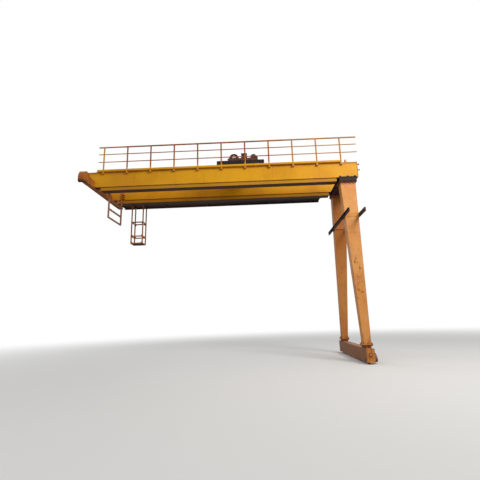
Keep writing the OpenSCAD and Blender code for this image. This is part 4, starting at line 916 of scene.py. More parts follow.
def guard_details():
    """Fittings of the frame that hangs between the girders. The bolts are given back for the basket's piece."""
    x0, x1, bars = -10.425, -10.365, (6.122, 6.511, 6.955)
    plates, rows, paths = Shape(), [], []
    for s in SIDES:
        for z in bars:
            plates.prism("X", [(s * 0.727, z + 0.056), (s * 0.727, z + 0.135), (s * 0.652, z + 0.056)],
                         -10.399, -10.391)
        post = s * 0.755
        plates.block((x0 - 0.03, post - 0.031, 7.28), (x1 + 0.03, post + 0.031, 7.292))
        for z in (7.56, 7.68):
            plates.block((x0 - 0.045, s * 0.723, z - 0.025), (x1 + 0.045, s * 0.731, z + 0.025))
            rows += [((x, s * 0.723, z), (0, -s, 0), 0.014) for x in (x0 - 0.026, x1 + 0.026)]
        plates.prism("Z", rounded((x0 - 0.002, post - 0.032), (x1 + 0.002, post + 0.032), 0.008), 7.731, 7.736)
        paths += [[(x, s * 0.7247, z), (x, s * 0.7247, z + 0.06)] for x in (x0, x1) for z in bars]
    plates.piece("guard_gussets", "root", "carriage_paint", 0.0015)
    beads("guard_welds", "root", "carriage_paint", paths, 0.005, 0.01)
    lugs, start = Shape(), x1 - 0.004
    for z in (7.645, 7.54, 7.44):
        lugs.plate("Z", [(start, 0.786), (start, 0.735), (-10.27, 0.735), (-10.25, 0.755), (-10.25, 0.786)],
                   z, 0.007)
        rows.append(((-10.30, 0.758, z + 0.007), UP, 0.012))
    lugs.piece("guard_lugs", "root", "dark_paint", 0.0015)
    return rows


def basket_details(rows):
    """Fittings of the basket that hangs behind the far girder. Its bolts join the rows given."""
    floor = 5.322
    xs, ys = (-10.035, -9.485), (1.29, 1.80)  # middles of the corner posts
    braces, paths = Shape(), []
    for face, up in ((floor + 0.05, 1), (floor + 0.4, 1), (floor + 1.05, -1)):
        for along, across, ends in (("Y", ys, xs), ("X", xs, ys)):
            for at in across:
                for post, way in zip(ends, (1, -1)):
                    corner = post + way * 0.024
                    braces.plate(along, [(corner, face), (corner + way * 0.07, face), (corner, face + up * 0.07)],
                                 at, 0.004)
    for x in xs:
        for y in ys:
            braces.prism("Z", rounded((x - 0.05, y - 0.05), (x + 0.05, y + 0.05), 0.01), 7.2185, 7.2325)
            rows += four((x, y, 7.2185), 0.036, 0.036, DOWN, 0.010)
            paths.append([(x + a * 0.027, y + b * 0.027, 7.216) for a, b in
                          ((-1, -1), (1, -1), (1, 1), (-1, 1), (-1, -1))])
    braces.piece("basket_gussets", "root", "carriage_paint", 0.0015)
    beads("basket_welds", "root", "carriage_paint", paths, 0.004, 0.01)
    bolts("guard_and_basket_bolts", "root", rows)
    treads("basket_treads", "root", "dark_paint", (-9.76, 1.545, floor + 0.03), 0.44, 0.4, 0.04)


# Legs, head beam, ties and feet.
LEG_LOW, LEG_HIGH = 0.604, 7.179
TIES = ((-0.2035, -1), (0.3789, 1))  # the face that each tie bears on, and the way out from it


def leg_at(z):
    """The near leg's box at a height: its X range and its distances from the crane's middle."""
    t = (z - LEG_LOW) / (LEG_HIGH - LEG_LOW)
    x, y, w, d = (low + (high - low) * t for low, high in
                  ((0.010, 0.111), (1.95, 0.96), (0.1295, 0.321), (0.175, 0.225)))
    return x - w, x + w, y - d, y + d


def leg_welds():
    paths, foot, head = [], LEG_LOW + 0.004, LEG_HIGH - 0.004
    for s in SIDES:
        low, high = leg_at(foot), leg_at(head)
        paths += [[(low[i], s * low[j], foot), (high[i], s * high[j], head)] for i in (0, 1) for j in (2, 3)]
        for z in (foot, head, 2.75, 4.9):
            box = leg_at(z)
            paths.append([(box[i], s * box[j], z) for i, j in ((0, 2), (1, 2), (1, 3), (0, 3), (0, 2))])
        for z in (5.575, 5.745):
            x0, x1, y0, y1 = leg_at(z)
            paths += [[(x0 - 0.003, s * y, z), (x1 + 0.003, s * y, z)] for y in (y0 - 0.003, y1 + 0.003)]
    beads("leg_welds", "root", "leg_paint", paths, 0.0045)


def leg_bolts(s):
    """Bolts of one leg's head plate, foot and tie clamps."""
    rows = []
    for x, y in [(x, y) for x in (-0.2375, 0.4595) for y in (0.7075, 0.83, 0.96, 1.09, 1.2125)] + [
            (x, y) for x in (-0.05, 0.111, 0.271) for y in (0.7075, 1.2125)]:
        rows.append(((x, s * y, LEG_HIGH), DOWN, 0.022))
        if x in (-0.2375, 0.4595):
            rows.append(((x, s * y, 7.219), UP, 0.022))
    for x, y in ((-0.157, -0.203), (0.157, -0.203), (-0.157, 0.203), (0.157, 0.203), (0, -0.203), (0, 0.203),
                 (-0.157, 0), (0.157, 0)):
        rows += [((0.010 + x, s * 1.95 + y, LEG_LOW), UP, 0.024), ((0.010 + x, s * 1.95 + y, 0.564), DOWN, 0.024)]
    for x, way in ((-0.2135, -1), (0.3889, 1)):
        rows += [((x, s * y, 5.66 + d), (way, 0, 0), 0.018) for y in (1.04, 1.19, 1.34) for d in (-0.036, 0.036)]
    return rows


def leg_details():
    leg_welds()
    rows, hatch = [], Shape()
    for s in SIDES:
        rows += leg_bolts(s)
        box = leg_at(1.45)
        middle = s * (box[2] + box[3]) / 2
        for side, i in ((-1, 0), (1, 1)):
            lean = (leg_at(1.6)[i] - leg_at(1.3)[i]) / 0.3
            hatch.loft([[(box[i] + side * t + lean * q, middle + p, 1.45 + q)
                         for p, q in rounded((-0.085, -0.13), (0.085, 0.13), 0.04, 4)] for t in (-0.004, 0.008)])
            rows += [((box[i] + side * 0.008 + lean * q, middle + p, 1.45 + q), (side, 0, 0), 0.009)
                     for p in (-0.07, 0.07) for q in (-0.1, 0, 0.1)]
    hatch.piece("leg_hatches", "root", "leg_paint", 0.002)
    paths, clamps = [], Shape()
    for s in SIDES:
        paths += [[(x, 0.0, z), (x, s * 1.262, z)] for x in (-0.195, 0.417) for z in (7.220, 7.382)]
        paths += [[(-0.195, s * 1.265, z), (0.417, s * 1.265, z)] for z in (7.220, 7.382)]
        for x in (-0.20, 0.111, 0.42):
            clamps.plate("X", [(s * y, z) for y, z in ((1.2045, 7.4035), (1.272, 7.4035), (1.272, 7.437),
                                                       (1.190, 7.437), (1.190, 7.4175), (1.2045, 7.4175))],
                         x, 0.045)
            rows += [((x, s * 1.236, 7.437), UP, 0.022), ((x, s * 1.236, 7.383), DOWN, 0.022)]
        for face, way in TIES:
            for y in (0.93, 1.45, 2.27):
                clamps.block((face + way * 0.008, s * y - 0.004, 5.596), (face + way * 0.06, s * y + 0.004, 5.724))
    beads("head_beam_welds", "root", "dark_paint", paths, 0.005, 0.018)
    clamps.piece("girder_clamps_and_tie_stiffeners", "root", "dark_paint", 0.0015)
    bolts("leg_bolts", "root", rows, "dark_paint")


def tie_splices():
    """Plates that splice the ties in the middle."""
    splice, rows = Shape(), []
    for face, way in TIES:
        web, out = face + way * 0.010, face + way * 0.019
        splice.block((web, -0.2, 5.602), (out, 0.2, 5.718))
        rows += [((out, y, z), (way, 0, 0), 0.014) for y in (-0.15, -0.06, 0.06, 0.15) for z in (5.635, 5.685)]
    splice.piece("tie_splices", "root", "dark_paint", 0.0015)
    bolts("tie_splice_bolts", "root", rows, "dark_paint")


# End carriages.
GROUND_WHEEL_Y, GROUND_WHEEL_Z = 2.2, 0.09
RUNWAY_WHEEL_Y, RUNWAY_WHEEL_Z = 1.985, 7.476


def travel_drive(group, slot, places):
    """Covers, fins and bolts of travel drives, each (case face, way out, wheel's Y, way in, axle's Z)."""
    motors, rows, covers = [], [], Shape()
    for face, out, wheel, way, axle in places:
        y, z = wheel + way * 0.1473, axle + 0.12
        motor, start = face + out * 0.065, y + way * 0.1025
        tail, top = start + way * 0.215, z + 0.072
        motors.append((motor, start + way * 0.115, z))
        covers.turned("Y", (motor, tail, z),
                      [(0.077, -0.01), (0.0795, 0), (0.0795, 0.038), (0.066, 0.0455), (0.024, 0.0455)], 36, way=way)
        for r in (0.032, 0.044, 0.056):
            covers.turned("Y", (motor, tail, z), [(r, 0.044), (r + 0.005, 0.044), (r + 0.005, 0.0485), (r, 0.0485)],
                          28, loop=True, way=way)
        covers.turned("Y", (motor, start, z), [(0.081, -0.002), (0.081, 0.014)], 36, way=way)
        rows += ring_of((motor, start + way * 0.014, z), "Y", 0.071, 6, way, 0.006, 0.4)
        box = start + way * 0.12
        for dx, dy, r, low, high in ((0.04, 0.045, 0.012, -0.01, 0.034), (0.043, 0.048, 0.014, 0.034, 0.042)):
            covers.prism("Z", rounded((motor - dx, box - dy), (motor + dx, box + dy), r), top + low, top + high)
        rows += four((motor, box, top + 0.042), 0.034, 0.038, UP, 0.005)
        side = face + out * 0.110
        for at_y, at_z, r, count in ((wheel, axle, 0.062, 6), (y, z, 0.046, 4)):
            covers.turned("X", (side, at_y, at_z),
                          [(r, -0.003), (r, 0.006), (r - 0.011, 0.0105), (0.014, 0.0105)], 36, way=out)
            rows += ring_of((side + out * 0.006, at_y, at_z), "X", r - 0.0055, count, out, 0.0055, 0.5)
        around = [(at_y + way * r * math.cos(math.radians(a)), at_z + r * math.sin(math.radians(a)))
                  for at_y, at_z, r, first in ((wheel, axle, 0.109, 130), (y, z, 0.088, -50))
                  for a in range(first, first + 181, 12)]
        for t in (0.045, 0.057):
            edges = sorted((face + out * t, face + out * (t + 0.009)))
            covers.prism("X", around, *edges)
        mid_y, mid_z = (wheel + y) / 2, (axle + z) / 2
        rows += [((face + out * 0.0665, mid_y + (p - mid_y) * 0.985, mid_z + (q - mid_z) * 0.985),
                  (out, 0, 0), 0.0055) for p, q in around[1::4]]
        covers.turned("Z", (face + out * 0.055, wheel + way * 0.06, axle + 0.16),
                      [(0.009, -0.02), (0.009, 0.012), (0.013, 0.014), (0.013, 0.026), (0.006, 0.03)], 16)
    fins(group + "_motor_fins", "root", slot, motors, 0.0745, 0.006, 0.19, 34)
    covers.piece(group + "_drive_covers", "root", slot, 0.0012)
    bolts(group + "_drive_bolts", "root", rows)


def ground_carriage_details():
    paths, rows, plates, dark = [], [], Shape(), Shape()
    for s in SIDES:
        paths += [[(x, 0, z), (x, s * 2.418, z)] for x in (-0.14, 0.14) for z in (0.002, 0.458)]
        paths.append([(x, s * 2.419, z) for x, z in ((-0.14, 0.01), (-0.14, 0.458), (0.14, 0.458), (0.14, 0.01))])
        plates.turned("Y", (0, s * 2.44, 0.252), [(0.078, -0.002), (0.078, 0.010), (0.058, 0.012)], 36, way=s)
        rows += ring_of((0, s * 2.450, 0.252), "Y", 0.067, 6, s, 0.009, 0.5)
        rows += [((x, s * 2.44, z), (0, s, 0), 0.015) for x in (-0.122, 0.122) for z in (0.04, 0.16, 0.30, 0.43)]
        rows += ring_of((-0.158, s * GROUND_WHEEL_Y, GROUND_WHEEL_Z), "X", 0.052, 6, -1, 0.009)
        dark.prism("X", [(s * y, z) for y, z in ((2.4405, 0.11), (2.462, 0.11), (2.470, 0.05), (2.470, -0.028),
                                                 (2.461, -0.028), (2.4405, 0.02))], -0.05, 0.05)
        rows += [((x, s * 2.463, 0.085), (0, s, 0), 0.011) for x in (-0.03, 0.03)]
        for y in (0.55, 1.45):
            plates.plate("Y", [(0.138, 0.45), (0.158, 0.45), (0.158, 0.10), (0.138, 0.06)],
                         s * y, 0.005)
    plates.piece("ground_beam_plates", "root", "carriage_paint", 0.002)
    dark.piece("rail_sweeps", "root", "carriage_paint", 0.002, finish=LIT_END_PLATE_PAINT)
    beads("ground_beam_welds", "root", "carriage_paint", paths)
    bolts("ground_carriage_bolts", "root", rows)
    box = Shape()
    box.prism("X", rounded((-0.20, 0.15), (0.20, 0.43), 0.012), 0.139, 0.245)
    box.prism("X", rounded((-0.19, 0.16), (0.19, 0.42), 0.012), 0.245, 0.257)
    box.block((0.139, -0.215, 0.43), (0.262, 0.215, 0.436))
    for y in (-0.185, 0.185):
        for z in (0.2, 0.38):
            box.turned("Z", (0.251, y, z), [(0.006, -0.02), (0.006, 0.02)], 12)
    box.prism("X", rounded((0.13, 0.27), (0.15, 0.31), 0.006), 0.257, 0.272)
    box.piece("travel_switch_box", "root", "machine_paint", 0.002)
    pipes = Shape()
    for s in SIDES:
        run = ((0.165, 0.15, 0.16), (0.165, 0.15, 0.075), (0.165, 1.62, 0.075), (0.165, 1.62, 0.30),
               (0.223, 1.83, 0.30), (0.223, 1.83, 0.318))
        pipes.swept(bend([(x, s * y, z) for x, y, z in run], 0.05), 0.011)
        for y in (0.4, 0.9, 1.4):
            pipes.prism("X", rounded((s * y - 0.012, 0.055), (s * y + 0.012, 0.098), 0.006), 0.139, 0.179)
    pipes.piece("travel_conduits", "root", "dark_paint", 0.001)


def runway_carriage_details():
    flanges, rows, paths = Shape(), [], []
    outline = rounded((-11.125, 7.368), (-10.875, 7.70), 0.012)
    holes = [(x, z) for x in (-11.112, -10.888) for z in (7.43, 7.53, 7.63)] + [(-11.05, 7.69), (-10.95, 7.69)]
    for s in SIDES:
        y, wheel = s * 1.645, s * RUNWAY_WHEEL_Y
        for t in (-0.0145, 0.0005):
            flanges.prism("Y", outline, y + t, y + t + 0.014)
        rows += [((x, y + d, z), (0, way, 0), 0.016) for d, way in ((-0.0145, -1), (0.0145, 1)) for x, z in holes]
        for x, way in ((-10.882, 1), (-11.118, -1))[:1 if s < 0 else 2]:
            rows += ring_of((x, wheel, RUNWAY_WHEEL_Z), "X", 0.052, 6, way, 0.010)
        for x in (-11.1, -10.9):
            rim = [(x, wheel + 0.3385 * math.cos(a), RUNWAY_WHEEL_Z + 0.3385 * math.sin(a)) for a in
                   (math.radians(-15 + 210 * i / 40) for i in range(41))]
            paths.append([p for p in rim if p[2] > 7.385 and abs(p[1]) > 1.66])
        paths += [[(x, s * 1.66, 7.377), (x, s * 2.29, 7.377)] for x in (-11.1, -10.9)]
        paths += [[(x, s * 1.63, z), (x, 0, z)] for x in (-11.1, -10.9) for z in (7.377, 7.675)]
    flanges.piece("runway_joint_flanges", "root", "carriage_paint", 0.002)
    beads("runway_carriage_welds", "root", "carriage_paint", paths)
    bolts("runway_carriage_bolts", "root", rows)
    cover = Shape()
    cover.turned("X", (-10.8825, -RUNWAY_WHEEL_Y, RUNWAY_WHEEL_Z),
                 [(0.043, -0.002), (0.043, 0.006), (0.036, 0.0105), (0.0315, 0.0105), (0.0315, -0.002)],
                 32, loop=True)
    cover.piece("runway_bearing_ring", "root", "steel", 0.0008, finish=BRIGHT_STEEL)
    hoods = Shape()
    for s in SIDES:
        first = -16 if s > 0 else 196
        ring = arc((s * RUNWAY_WHEEL_Y, RUNWAY_WHEEL_Z), 0.344, first, first + s * 198, 24)
        ring += arc((s * RUNWAY_WHEEL_Y, RUNWAY_WHEEL_Z), 0.315, first + s * 198, first, 24)
        for x in (-11.104, -10.896):
            hoods.plate("X", [(y, max(z, 7.378)) for y, z in ring], x, 0.004)
    hoods.piece("runway_hood_rims", "root", "carriage_paint", 0.0015)


def wheel_hubs():
    """End plates on the wheel shafts, each turning with its wheel."""
    for body, places in (
            ("ground_wheel_near", [(-0.166, -GROUND_WHEEL_Y, GROUND_WHEEL_Z, -1)]),
            ("ground_wheel_far", [(-0.166, GROUND_WHEEL_Y, GROUND_WHEEL_Z, -1)]),
            ("runway_wheel_near", [(-10.874, -RUNWAY_WHEEL_Y, RUNWAY_WHEEL_Z, 1)]),
            ("runway_wheel_far", [(-10.874, RUNWAY_WHEEL_Y, RUNWAY_WHEEL_Z, 1),
                                  (-11.126, RUNWAY_WHEEL_Y, RUNWAY_WHEEL_Z, -1)])):
        hub, rows = Shape(), []
        for x, y, z, way in places:
            plate = ((0.029, -0.002), (0.029, 0.005), (0.025, 0.008), (0.006, 0.008))
            nipple = ((0.004, 0.007), (0.004, 0.014), (0.006, 0.015), (0.006, 0.019), (0.003, 0.02))
            for profile, steps in ((plate, 28), (nipple, 12)):
                hub.turned("X", (x, y, z), profile, steps, way=way)
            rows += ring_of((x + way * 0.007, y, z), "X", 0.018, 3, way, 0.0045)
        hub.piece(body + "_hub", body, "steel", 0.0008, finish=BRIGHT_STEEL)
        bolts(body + "_hub_bolts", body, rows)


girder_welds()
rail_fixings()
railing_details()
platform_details()
bracket_details()
basket_details(guard_details())
leg_details()
tie_splices()
travel_drive("ground", "carriage_paint", [(0.158, 1, s * GROUND_WHEEL_Y, -s, GROUND_WHEEL_Z) for s in SIDES])
travel_drive("runway", "machine_paint", [(-11.118, -1, -RUNWAY_WHEEL_Y, 1, RUNWAY_WHEEL_Z)])
ground_carriage_details()
runway_carriage_details()
wheel_hubs()


# The trolley: frame, bed and wheels.
FRAME_LEFT, FRAME_RIGHT, DECK = -5.551, -3.441, 8.497
AXLES = (-5.246, -3.746)
AXLE_Z = 8.2533
BED = 8.592  # top of the machinery bed
DRUM_X, DRUM_Z, DRUM_CORE = -4.806, 8.775, 0.161
MOTOR_X, MOTOR_Z = -3.906, 8.735
GEAR_NEAR, GEAR_FAR = 0.58, 0.81


def on_drum(y):
    """A point on the drum's shaft."""
    return DRUM_X, y, DRUM_Z


def on_motor(y):
    """A point on the hoist motor's shaft."""
    return MOTOR_X, y, MOTOR_Z


def trolley_frame_details():
    caps, rows, paths = Shape(), [], []
    for s in SIDES:
        for x in AXLES:
            caps.prism("Y", rounded((x - 0.088, AXLE_Z - 0.02), (x + 0.088, AXLE_Z + 0.105), 0.03, 4),
                       s * 0.9595, s * 0.9665)
            caps.turned("Y", (x, s * 0.972, AXLE_Z),
                        [(0.046, -0.008), (0.046, 0.004), (0.038, 0.008), (0.010, 0.008)], 32, way=s)
            rows += [((x + d, s * 0.9665, AXLE_Z + z), (0, s, 0), 0.012)
                     for d in (-0.068, 0.068) for z in (0.0, 0.085)]
            rows += ring_of((x, s * 0.980, AXLE_Z), "Y", 0.026, 3, s, 0.007, 0.4)
        for z in (8.191, 8.486):
            paths.append([(FRAME_LEFT + 0.004, s * 0.959, z), (FRAME_RIGHT - 0.004, s * 0.959, z)])
        for x in (-5.45, -5.0, -4.5, -4.0, -3.54):
            caps.plate("X", [(s * 0.959, 8.20), (s * 0.972, 8.23), (s * 0.972, 8.45), (s * 0.959, 8.48)],
                       x, 0.005)
    paths += [[(x + a * 0.0605, b * 0.829, z) for z in (8.34, 8.484)]
              for x in (-5.451, -4.206, -3.541) for a in SIDES for b in SIDES]
    for s in SIDES:
        for x, way in ((FRAME_LEFT, 1), (FRAME_RIGHT, -1)):
            middle = x + way * 0.004
            caps.prism("Y", rounded((middle - 0.005, 8.315), (middle + 0.005, 8.445), 0.003), s * 0.838, s * 0.952)
            rows += [((x - way * 0.001, s * (0.895 + a * 0.04), 8.382 + b * 0.044), (-way, 0, 0), 0.012)
                     for a in SIDES for b in SIDES]
    caps.piece("trolley_axle_plates", "trolley", "machine_paint", 0.0015)
    beads("trolley_welds", "trolley", "machine_paint", paths, 0.0045, 0.014)
    rows += [((-5.47 + 0.195 * i, s * 0.865, DECK), UP, 0.010) for s in SIDES for i in range(11)]
    sweeps = Shape()
    for s in SIDES:
        for x, way in ((-5.46, -1), (-3.53, 1)):
            sweeps.prism("Y", [(x + way * t, z) for t, z in
                               ((0, 8.25), (0.014, 8.25), (0.05, 8.165), (0.036, 8.165))], s * 0.873, s * 0.917)
    sweeps.piece("trolley_rail_sweeps", "trolley", "buffer_rubber", 0.002)
    for place, x, y, length, width in (("left", -5.29, 0, 0.36, 1.5), ("right", -3.60, 0.12, 0.12, 1.38),
                                       ("middle", -4.22, -0.02, 0.24, 1.08)):
        treads("trolley_deck_treads_" + place, "trolley", "machine_paint", (x, y, DECK), length, width)
    gussets = Shape()
    for outline, places in (
            (((-0.5802, DECK), (-0.5802, BED - 0.012), (-0.572, BED - 0.012), (-0.515, DECK + 0.01), (-0.515, DECK)),
             (-5.0, -4.70, -4.52)),
            (((-0.8302, 8.50), (-0.8302, 8.64), (-0.842, 8.64), (-0.875, 8.51), (-0.875, 8.497)),
             (-4.95, -4.50, -4.05, -3.76))):
        for x in places:
            gussets.plate("X", outline, x, 0.005)
    gussets.block((-5.0715, -0.8315, 8.646), (-3.7105, -0.8075, 8.655))
    for x in (-5.071, -3.711):
        gussets.plate("X", rounded((-0.80, 8.512), (-0.61, 8.578), 0.02, 4), x, 0.005)
    gussets.piece("bed_gussets", "trolley", "carriage_paint", 0.0015, finish=BED_PAINT)
    rows += [((x, -0.862, DECK), UP, 0.010) for x in (-4.98, -4.53, -4.08)]
    bolts("trolley_bolts", "trolley", rows)
    rims = Shape()
    for s in SIDES:
        edge = -4.716 + s * 0.3304
        rims.prism("Y", [(edge + s * t, z) for t, z in
                         ((0, DECK), (0, DECK + 0.018), (0.0056, DECK + 0.018), (0.0056, DECK))], -0.55, 0.55)
    rims.piece("deck_hole_rims", "trolley", "machine_paint", 0.001)


def trolley_drive_details():
    x, y, z = AXLES[1], -0.74, AXLE_Z
    motor_x, motor_z = x - 0.075, z + 0.030
    start, end = y + 0.09, y + 0.369
    fins("trolley_motor_fins", "trolley", "machine_paint", [(motor_x, start + 0.14, motor_z)],
         0.0645, 0.0055, 0.17, 30)
    parts, rows = Shape(), []
    parts.turned("Y", (motor_x, end - 0.05, motor_z),
                 [(0.066, -0.012), (0.0695, -0.004), (0.0695, 0.036), (0.058, 0.0485), (0.02, 0.0485)], 32)
    parts.turned("Y", (motor_x, start, motor_z), [(0.070, -0.002), (0.070, 0.013)], 32)
    rows += ring_of((motor_x, start + 0.013, motor_z), "Y", 0.061, 6, 1, 0.0055, 0.3)
    parts.turned("Y", (x, y, z), [(0.062, 0.002), (0.062, -0.006), (0.05, -0.010), (0.032, -0.010)], 32)
    rows += ring_of((x, y - 0.006, z), "Y", 0.056, 6, -1, 0.005)
    parts.prism("Z", rounded((motor_x - 0.035, start + 0.09), (motor_x + 0.035, start + 0.165), 0.01),
                motor_z + 0.055, motor_z + 0.093)
    rows += four((motor_x, start + 0.1275, motor_z + 0.093), 0.026, 0.028, UP, 0.0045)
    inner = [(p * 0.985 + x * 0.015, q) for p, q in reversed(arc((x, z), 0.082, -110, 60, 14))]
    for t in (0.04, 0.052):
        parts.prism("Y", arc((x, z), 0.0875, -110, 60, 14) + inner, y + t, y + t + 0.008)
    parts.piece("trolley_drive_covers", "trolley", "machine_paint", 0.001)
    bolts("trolley_drive_bolts", "trolley", rows)


# The hoist.
def drum_barrel():
    """Barrel with end flanges, six webs on each, and the shaft, in place of the plain drum."""
    drum = Shape()
    drum.turned("Y", on_drum(0), [(DRUM_CORE, -0.521), (DRUM_CORE, 0.521)], 96)
    for s in SIDES:
        drum.turned("Y", on_drum(0), [
            (0.150, 0.5205), (0.214, 0.5205), (0.2195, 0.5235), (0.2195, 0.5365), (0.214, 0.5395), (0.175, 0.5395),
            (0.168, 0.533), (0.09, 0.533), (0.078, 0.5395), (0.078, 0.552), (0.062, 0.556), (0.041, 0.556)],
            72, way=s)
        for angle in round_angles(6, 0.2):
            out, side = spoke(angle)
            drum.loft([[Vector(on_drum(s * (0.5325 + h))) + out * r + side * w for w, h in
                        ((-0.005, 0.0), (-0.005, depth), (0.005, depth), (0.005, 0.0))]
                       for r, depth in ((0.07, 0.016), (0.178, 0.0065))])
    drum.turned("Y", on_drum(0), [(0.030, -0.6505), (0.040, -0.6445), (0.040, 0.598), (0.030, 0.5995)], 40)
    barrel = drum.piece("drum_barrel", "trolley", "machine_paint", 0.0012)
    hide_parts("drum")


def drum_details():
    drum_barrel()
    for name, hand in (("near", -1.0), ("far", 1.0)):
        WINDING.run("drum_rope_" + name, "trolley", "rope", lines([]), sharp=60, Radius=DRUM_CORE + 0.007,
                    Rope=0.0141, Turns=29.6, Start=0.098, Hand=hand, Centre=on_drum(0))
    clamps, rows = Shape(), []
    for s in SIDES:
        for angle in (0.35, 0.75, 1.15):
            out, side = spoke(angle)
            base = Vector(on_drum(s * 0.088))
            clamps.loft([[base + out * (DRUM_CORE - 0.002 + h) + side * w + Vector((0, t, 0)) for w, t in
                          ((-0.014, -0.018), (0.014, -0.018), (0.014, 0.018), (-0.014, 0.018))]
                         for h in (0, 0.012)])
            rows.append((base + out * (DRUM_CORE + 0.010), tuple(out), 0.008))
    clamps.piece("rope_clamps", "trolley", "steel", 0.0015)
    cap = Shape()
    cap.turned("Y", on_drum(-0.640), [(0.078, 0.002), (0.078, -0.006), (0.069, -0.011), (0.042, -0.013),
                                      (0.0405, -0.0095)], 40)
    cap.turned("Y", on_drum(-0.6505), [(0.036, 0.003), (0.036, -0.005), (0.031, -0.008), (0.008, -0.008)], 32)
    cap.piece("drum_bearing_cap", "trolley", "steel", 0.001, finish=BRIGHT_STEEL)
    rows += ring_of(on_drum(-0.646), "Y", 0.060, 6, -1, 0.008, 0.3)
    pedestal = Shape()
    for s in SIDES:
        pedestal.block((DRUM_X + s * 0.092 - 0.02, -0.640, DRUM_Z - 0.016),
                       (DRUM_X + s * 0.092 + 0.02, -0.582, DRUM_Z + 0.016))
        pedestal.prism("Y", [(DRUM_X + s * 0.07, 8.622), (DRUM_X + s * 0.125, 8.622), (DRUM_X + s * 0.07, 8.70)],
                       -0.616, -0.604)
        rows += [((DRUM_X + s * 0.100, -0.612, DRUM_Z + 0.016), UP, 0.012),
                 ((DRUM_X + s * 0.115, -0.65, 8.622), UP, 0.016)]
    pedestal.turned("Z", (DRUM_X, -0.61, 8.866), [(0.007, -0.004), (0.007, 0.008), (0.0045, 0.010),
                                                  (0.0045, 0.018), (0.006, 0.02), (0.003, 0.024)], 14)
    pedestal.piece("drum_pedestal_lugs", "trolley", "machine_paint", 0.0015)
    bolts("drum_bolts", "trolley", rows)


def gearbox_details():
    case, rows = Shape(), []
    covers = ((DRUM_X, DRUM_Z, 0.125), (-4.42, 8.775, 0.095), (MOTOR_X - 0.235, 8.775, 0.07),
              (MOTOR_X, MOTOR_Z, 0.058))
    for x, z, r in covers:
        case.turned("Y", (x, GEAR_FAR, z), [(r, -0.002), (r, 0.010), (r - 0.012, 0.0145), (r * 0.4, 0.0145)], 44)
        rows += ring_of((x, GEAR_FAR + 0.010, z), "Y", r - 0.011, 8 if r > 0.08 else 6, 1, 0.0075, 0.35)
    for x, z, r, rim, face, hole in ((DRUM_X, DRUM_Z, 0.105, 0.010, 0.0135, 0.044),
                                     (MOTOR_X, MOTOR_Z, 0.075, 0.008, 0.012, 0.032)):
        case.turned("Y", (x, GEAR_NEAR, z),
                    [(r, 0.002), (r, -rim), (r - rim, -face), (hole, -face), (hole, 0.002)], 40, loop=True)
        rows += ring_of((x, GEAR_NEAR - 0.010, z), "Y", r - 0.012, 6, -1, 0.007)
    faces = (GEAR_NEAR - 0.0085, GEAR_FAR + 0.0085)
    for y in faces:
        for x in (-5.01, -4.90, -4.66, -4.55, -4.29, -4.02, -3.785):
            rows += [((x, y, 8.787), UP, 0.009), ((x, y, 8.763), DOWN, 0.009)]
    rows += [((x, y, 8.522), UP, 0.010) for x in (-4.92, -4.55, -4.25, -4.05) for y in faces]
    for x in (-4.98, -4.56, -4.32, -4.02):
        case.block((x - 0.006, GEAR_FAR - 0.001, 8.535), (x + 0.006, GEAR_FAR + 0.014, 8.762))
    start = Vector((DRUM_X + 0.02, 0, DRUM_Z + 0.2345))
    end = Vector((MOTOR_X, 0, MOTOR_Z + 0.1495))
    slope = (end - start).normalized()
    up, across = Vector((-slope.z, 0, slope.x)), Vector((0, 1, 0))
    middle = start.lerp(end, 0.38) + up * 0.004 + across * 0.695
    long, wide = 0.17, 0.075
    for t, grow in ((0.0, 0.0), (0.011, -0.012)):
        outline = rounded((-long - grow, -wide - grow), (long + grow, wide + grow), 0.015)
        case.loft([[middle + slope * p + across * q + up * (t + h) for p, q in outline] for h in (-0.012, 0.008)])
    rows += [(middle + slope * p * (long - 0.014) + across * q * (wide - 0.012) + up * 0.010, tuple(up), 0.008)
             for p in (-1, -0.33, 0.33, 1) for q in SIDES]
    case.turned("Z", middle + slope * -0.08 + up * 0.018,
                [(0.014, -0.01), (0.014, 0.014), (0.022, 0.018), (0.022, 0.036), (0.016, 0.042), (0.005, 0.043)], 20)
    for x, z in ((-4.95, 8.958), (-4.06, start.lerp(end, (-4.06 - start.x) / (end.x - start.x)).z)):
        eye = [(x - 0.036, z - 0.03), (x + 0.036, z - 0.03)] + arc((x, z + 0.018), 0.03, -40, 220, 16)
        case.prism("Y", eye, 0.683, 0.707)
    case.turned("Y", (-4.62, GEAR_FAR, 8.56), [(0.014, -0.002), (0.014, 0.006), (0.010, 0.013), (0.004, 0.013)], 14)
    case.piece("gearbox_covers", "trolley", "gear_paint", 0.0015, finish=CASE_PAINT)
    plugs = Shape()
    plugs.turned("Y", (-4.33, GEAR_FAR, 8.66),
                 [(0.022, -0.002), (0.022, 0.010), (0.015, 0.012), (0.014, 0.007), (0.004, 0.007)], 24)
    for x, z in ((-4.40, 8.56), (-4.12, 8.60)):
        plugs.turned("Y", (x, GEAR_FAR, z), [(0.011, -0.002), (0.011, 0.010), (0.008, 0.013), (0.003, 0.013)], 6)
    plugs.piece("gearbox_plugs", "trolley", "steel", 0.0008)
    bolts("gearbox_bolts", "trolley", rows)


